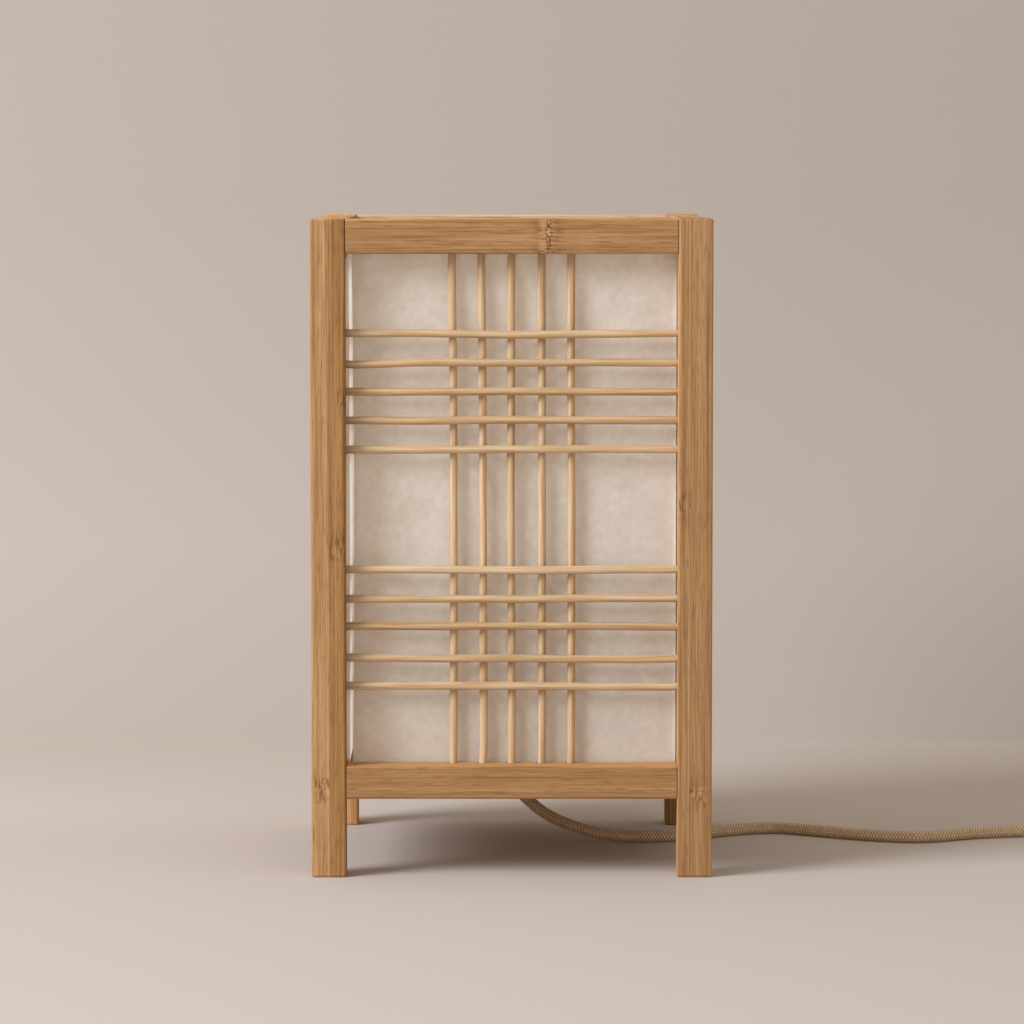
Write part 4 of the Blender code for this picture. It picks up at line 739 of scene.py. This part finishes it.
# Painted shade and highlight: the colour follows the pillows' height, darker in the gaps and lighter on the
# tops, and the lay that is over is lighter, a painted sheen.
lift = add_node(cotton, "Math", {0: over, 1: 0.2, 2: pillow}, operation="MULTIPLY_ADD")
lift = add_node(cotton, "Math", {0: lift, 1: 0.5}, operation="MULTIPLY")
mottle_and_painted_shade = add_node(cotton, "Math", {0: fuzz, 1: 0.3, 2: lift}, operation="MULTIPLY_ADD")
undyed_and_painted_shade = ((0.1, "#7f6044"), (0.42, "#bf9f7b"), (0.8, "#e6ceac"))
yarn = add_node(cotton, "ValToRGB", {0: mottle_and_painted_shade}, stops=undyed_and_painted_shade)
weave = add_node(cotton, "Bump", {"Height": pillow, "Strength": 0.7, "Distance": 0.25 * MM})
sleeve = {"Base Color": yarn, "Normal": weave, "Roughness": 0.9, "Specular IOR Level": 0.2}
sleeve = add_node(cotton, "BsdfPrincipled", {**sleeve, "Sheen Weight": 0.15})
add_node(cotton, "OutputMaterial", {0: sleeve})

lead_drop = CORD_EXIT[2] - CORD_RADIUS
lead_rise = SWITCH_START[2] - CORD_RADIUS
lead_end = SWITCH_START - (BUTT_GAP, 0, 0)
lead_points = [(x * MM, y * MM, CORD_RADIUS + share * lead_drop) for x, y, share in HANGING]
lead_points += [(x * MM, y * MM, CORD_RADIUS) for x, y in ON_TABLE]
lead_points += [(RISE[0] * MM, RISE[1] * MM, CORD_RADIUS + RISE[2] * lead_rise)]
lead_points += [lead_end - (CORD_DIAMETER, 0, 0), lead_end]
lead_path = even_steps(smooth_route(np.array(lead_points), 12), 1.5 * MM)
lead_path[:, 2] = np.maximum(lead_path[:, 2], CORD_RADIUS)


def cord_mesh(name, path, reference):
    """A round tube along the path, with a UV map for the braid."""
    along = lengths_along(path)
    grid = tube_grid(path, CORD_RADIUS, CORD_SIDES, np.array(reference, float))
    return skin(name, [grid], along=np.concatenate([along[:1], along, along[-1:]]))


mesh = cord_mesh("braided_lead", lead_path, (0, 1, 0))
lead = new_piece("braided_lead", mesh, cotton, "braided_cotton", "cord_lead")

# Switch: a rocker in two half shells of brown moulded plastic, held by two small screws from above.
# Each end narrows to a nose that grips the cord.
shell_plastic = moulded("moulded_brown_plastic", "#4a3524", "#563f2c", 0.42, 30, 0.7)  # satin
rocker_plastic = moulded("moulded_dark_plastic", "#1f1a16", "#2a231e", 0.3, 20, 0.8)  # glossier and darker
dress(shell_plastic, "switch_lower_shell", "switch_upper_shell")
dress(rocker_plastic, "switch_rocker")
dress(zinc, "switch_screw_1", "switch_screw_2")

# Coil: the spare cord, wound flat from the outside in and back out over itself, then led to the plug.
# It lies on the table beyond the switch, held by one strap.
STRAP_WIDTH = 10 * MM
STRAP_THICKNESS = 0.8 * MM
COIL_INNER_RADIUS = 24 * MM
COIL_TURNS = 6.25
COIL_PITCH = CORD_DIAMETER + 0.7 * MM
COIL_REVERSAL = 0.1  # turns over which the spiral goes from inwards to outwards
COIL_CLIMB = 0.5  # turns over which it climbs to the upper layer
COIL_LOW = CORD_RADIUS + STRAP_THICKNESS + 2 * BUTT_GAP  # lower layer's middle, over the strap
COIL_RUN_IN = 40 * MM
COIL_RUN_OUT = 42 * MM
PLUG_AXIS = 6.85 * MM


def coil_radius(turns):
    """The inner radius plus the pitch times a count of turns from the reversal, rounded off near it."""
    return COIL_INNER_RADIUS + COIL_PITCH * (np.hypot(turns, COIL_REVERSAL) - COIL_REVERSAL)


def eased_run(start, end, straight):
    """A straight run whose height eases from one end to the other between its two level stretches."""
    share = np.linspace(0, 1, 25)[:, None]
    run = start + (end - start) * share
    run[:, 2] = start[2] + (end[2] - start[2]) * ease((share[:, 0] - straight) / (0.9 - straight))
    return run


coil_outer = coil_radius(COIL_TURNS / 2)
coil_middle = SWITCH_START * (1, 1, 0) + (SWITCH_LENGTH + COIL_RUN_IN, -coil_outer, 0)
coil_turns = np.linspace(-COIL_TURNS / 2, COIL_TURNS / 2, 600)
coil_angle = np.pi / 2 - 2 * np.pi * (coil_turns + COIL_TURNS / 2)
coil_height = COIL_LOW + COIL_PITCH * ease(coil_turns / COIL_CLIMB + 0.5)
coil_loops = np.stack([np.cos(coil_angle), np.sin(coil_angle)], axis=1) * coil_radius(coil_turns)[:, None]
coil_loops = np.column_stack([coil_loops + coil_middle[:2], coil_height])
coil_start = SWITCH_START + (SWITCH_LENGTH + BUTT_GAP, 0, 0)
plug_entry = np.array((coil_loops[-1, 0], coil_loops[-1, 1] - COIL_RUN_OUT + BUTT_GAP, PLUG_AXIS))
run_in = eased_run(coil_start, coil_loops[0], CORD_DIAMETER / COIL_RUN_IN)
run_out = eased_run(plug_entry, coil_loops[-1], CORD_DIAMETER / COIL_RUN_OUT)[::-1]
coil_path = even_steps(np.concatenate([run_in[:-1], coil_loops, run_out[1:]]), 2 * MM)
mesh = cord_mesh("braided_coil", coil_path, (0, 0, 1))
coil = new_piece("braided_coil", mesh, cotton, "braided_cotton", "cord_coil")

# Strap: a black woven strap round the coil's loops where they lie side by side in two layers,
# its end tucked under.
STRAP_TURNS = (0.5, 2.5)  # from the reversal, of the inmost and outmost loop that it holds
STRAP_SLACK = 1 * MM
STRAP_CORNER = 2.5 * MM
strap_low, strap_high = (coil_radius(turns) for turns in STRAP_TURNS)
strap_half = np.array(((strap_high - strap_low) / 2 + STRAP_SLACK, COIL_PITCH / 2 + BUTT_GAP)) + CORD_RADIUS
strap_bearing = np.pi / 2 - 2 * np.pi * (COIL_TURNS / 2 - STRAP_TURNS[1])


def strap_grid():
    """A flat band round the bundle: its path is a rectangle with round corners, across the loops and up.

    Each ring is an ellipse-ended slot, the strap's width along the loops and its thickness outwards.
    """
    quarter = np.linspace(0, np.pi / 2, 9)
    turn = np.concatenate([quarter + i * np.pi / 2 for i in range(4)])
    signs = np.repeat(((1, 1), (-1, 1), (-1, -1), (1, -1)), 9, axis=0)
    outward = np.column_stack([np.cos(turn), np.sin(turn)])
    path = signs * (strap_half - STRAP_CORNER) + STRAP_CORNER * outward
    ring = np.linspace(0, 2 * np.pi, 16, endpoint=False)
    wide = np.sign(np.cos(ring)) * np.abs(np.cos(ring)) ** 0.35 * STRAP_WIDTH / 2
    thick = STRAP_THICKNESS / 2 * (1 + np.sign(np.sin(ring)) * np.abs(np.sin(ring)) ** 0.5)
    flat = path[:, None] + outward[:, None] * thick[None, :, None]
    radial = np.array((np.cos(strap_bearing), np.sin(strap_bearing), 0))
    tangent = np.array((-np.sin(strap_bearing), np.cos(strap_bearing), 0))
    middle = coil_middle + radial * (strap_low + strap_high) / 2 + (0, 0, COIL_LOW + COIL_PITCH / 2)
    points = middle + radial * flat[..., :1] + tangent * wide[None, :, None]
    points[..., 2] += flat[..., 1]
    return np.concatenate([points, points[:1]])


# Webbing: ribs of dull black yarn across the strap, about 1 mm apart.
webbing = new_finish("woven_black_webbing")
ribs = add_node(webbing, "SeparateXYZ", {0: add_node(webbing, "TexCoord").outputs["UV"]})
ribs = add_node(webbing, "Math", {0: ribs.outputs[1], 1: 2 * np.pi / (1 * MM)}, operation="MULTIPLY")
ribs = add_node(webbing, "Math", {0: ribs}, operation="SINE")
lint = {"Vector": add_node(webbing, "TexCoord").outputs["Object"], "Scale": 1 / (0.6 * MM), "Detail": 2}
lint = add_node(webbing, "TexNoise", lint)
yarn = add_node(webbing, "Math", {0: ribs, 1: 0.25, 2: lint}, operation="MULTIPLY_ADD")
black = add_node(webbing, "ValToRGB", {0: yarn}, stops=((0.2, "#141414"), (0.8, "#302e2c")))
raised = add_node(webbing, "Bump", {"Height": ribs, "Strength": 0.5, "Distance": 0.15 * MM})
dull = {"Base Color": black, "Roughness": 0.8, "Normal": raised, "Specular IOR Level": 0.3}
dull = add_node(webbing, "BsdfPrincipled", dull)
add_node(webbing, "OutputMaterial", {0: dull})
strap_points = strap_grid()
strap_along = lengths_along(strap_points[:, 4])  # by the middle of its outer face
mesh = skin("woven_strap", [strap_points], along=strap_along)
strap = new_piece("woven_strap", mesh, webbing, "black_strap", "coil_tie")

# Plug: a flat body of the same brown plastic moulded round two nickel-plated pins, narrowed to a
# tail for the cord.
nickel = metal("bright_nickel", "#b3b0a8", "#cfccc4", 0.24, (0.3, 5, 0.3))  # silver with a warm cast
dress(shell_plastic, "plug_body")
dress(nickel, "plug_pin_1", "plug_pin_2")

# Table and backdrop: a table top covered in warm grey paper, and a second sheet of it hung close
# behind the lamp. Each shows on its own side only, so it hides nothing from behind.
HANG = 0.44  # m from the lamp's middle to the hanging sheet
HANG_HEIGHT = 1.6  # m
HALF_STAGE = 5.0  # m


def stage_sheet(name, near, far, surface):
    """A flat sheet 10 m wide: the line between two pairs of y and z, carried along X."""
    points = [(x, *end) for end in (near, far) for x in (-HALF_STAGE, HALF_STAGE)]
    mesh = bpy.data.meshes.new(name)
    mesh.from_pydata(points, [], [(0, 1, 3, 2)])
    mesh.materials.append(surface)
    sheet = bpy.data.objects.new(name, mesh)
    scene.collection.objects.link(sheet)


# Backdrop paper: a dull warm grey with painted shading: a little lighter on the table behind the lamp,
# darker at the hanging sheet's foot and towards its top, where less light reaches.
grey = new_finish("warm_grey_backdrop_paper")
spot = add_node(grey, "TexCoord").outputs["Object"]
_, back, up = add_node(grey, "SeparateXYZ", {0: spot}).outputs
stage_reach = add_node(grey, "Math", {0: back, 1: up}, operation="ADD")
shades = (  # by the metres along the table from under the lamp, and on up the hanging sheet
    (0.0, "#bfb3a8"),
    (0.15, "#c4b9ad"),
    (0.26, "#c2b6aa"),
    (0.4, "#bfb3a6"),
    (0.438, "#c0b4a7"),
    (0.442, "#bcb0a4"),
    (0.48, "#bdb1a5"),
    (0.56, "#bfb3a7"),
    (0.65, "#b9ada1"),
    (0.77, "#b1a69a"),
    (0.89, "#aea397"),
)
# Painted shading: lighter behind the lamp, darker at the sheet's foot and towards its top.
painted_stage_shading = add_node(grey, "ValToRGB", {0: stage_reach}, stops=shades)
flock = add_node(grey, "TexNoise", {"Vector": spot, "Scale": 1 / (1.5 * MM), "Detail": 2})
flock = add_node(grey, "Bump", {"Height": flock, "Strength": 0.05, "Distance": 0.2 * MM})
plain = {"Base Color": painted_stage_shading, "Roughness": 0.9, "Specular IOR Level": 0.1, "Normal": flock}
plain = add_node(grey, "BsdfPrincipled", plain)
behind = add_node(grey, "NewGeometry").outputs["Backfacing"]
clear = add_node(grey, "BsdfTransparent")
add_node(grey, "OutputMaterial", {0: add_node(grey, "MixShader", {0: behind, 1: plain, 2: clear})})
stage_sheet("paper_table", (-HALF_STAGE, 0), (HALF_STAGE, 0), grey)
stage_sheet("paper_backdrop", (HANG, 0), (HANG, HANG_HEIGHT), grey)

# Light: one large soft box of cool daylight to the left, in front of the lamp and above it, and an
# even warm room light.
KEY_DISTANCE = 3.3  # m
KEY_DIRECTION = np.array((-0.735, -0.477, 0.482))
LAMP_MIDDLE = np.array((0, 0, 0.16))
key = bpy.data.objects.new("soft_box", bpy.data.lights.new("soft_box", "AREA"))
key.data.shape = "DISK"
key.data.size = 1.7
key.data.energy = 135
key.data.color = colour("#e9f1ff")[:3]
key.location = LAMP_MIDDLE + KEY_DISTANCE * KEY_DIRECTION
key_bearing = np.arctan2(KEY_DIRECTION[1], KEY_DIRECTION[0])
key.rotation_euler = (np.arccos(KEY_DIRECTION[2]), 0, key_bearing + np.pi / 2)
scene.collection.objects.link(key)
room = bpy.data.worlds.new("room_light")
room.use_nodes = True
ambient = room.node_tree.nodes["Background"].inputs
ambient["Color"].default_value = colour("#fbf6ef")
ambient["Strength"].default_value = 0.75
scene.world = room
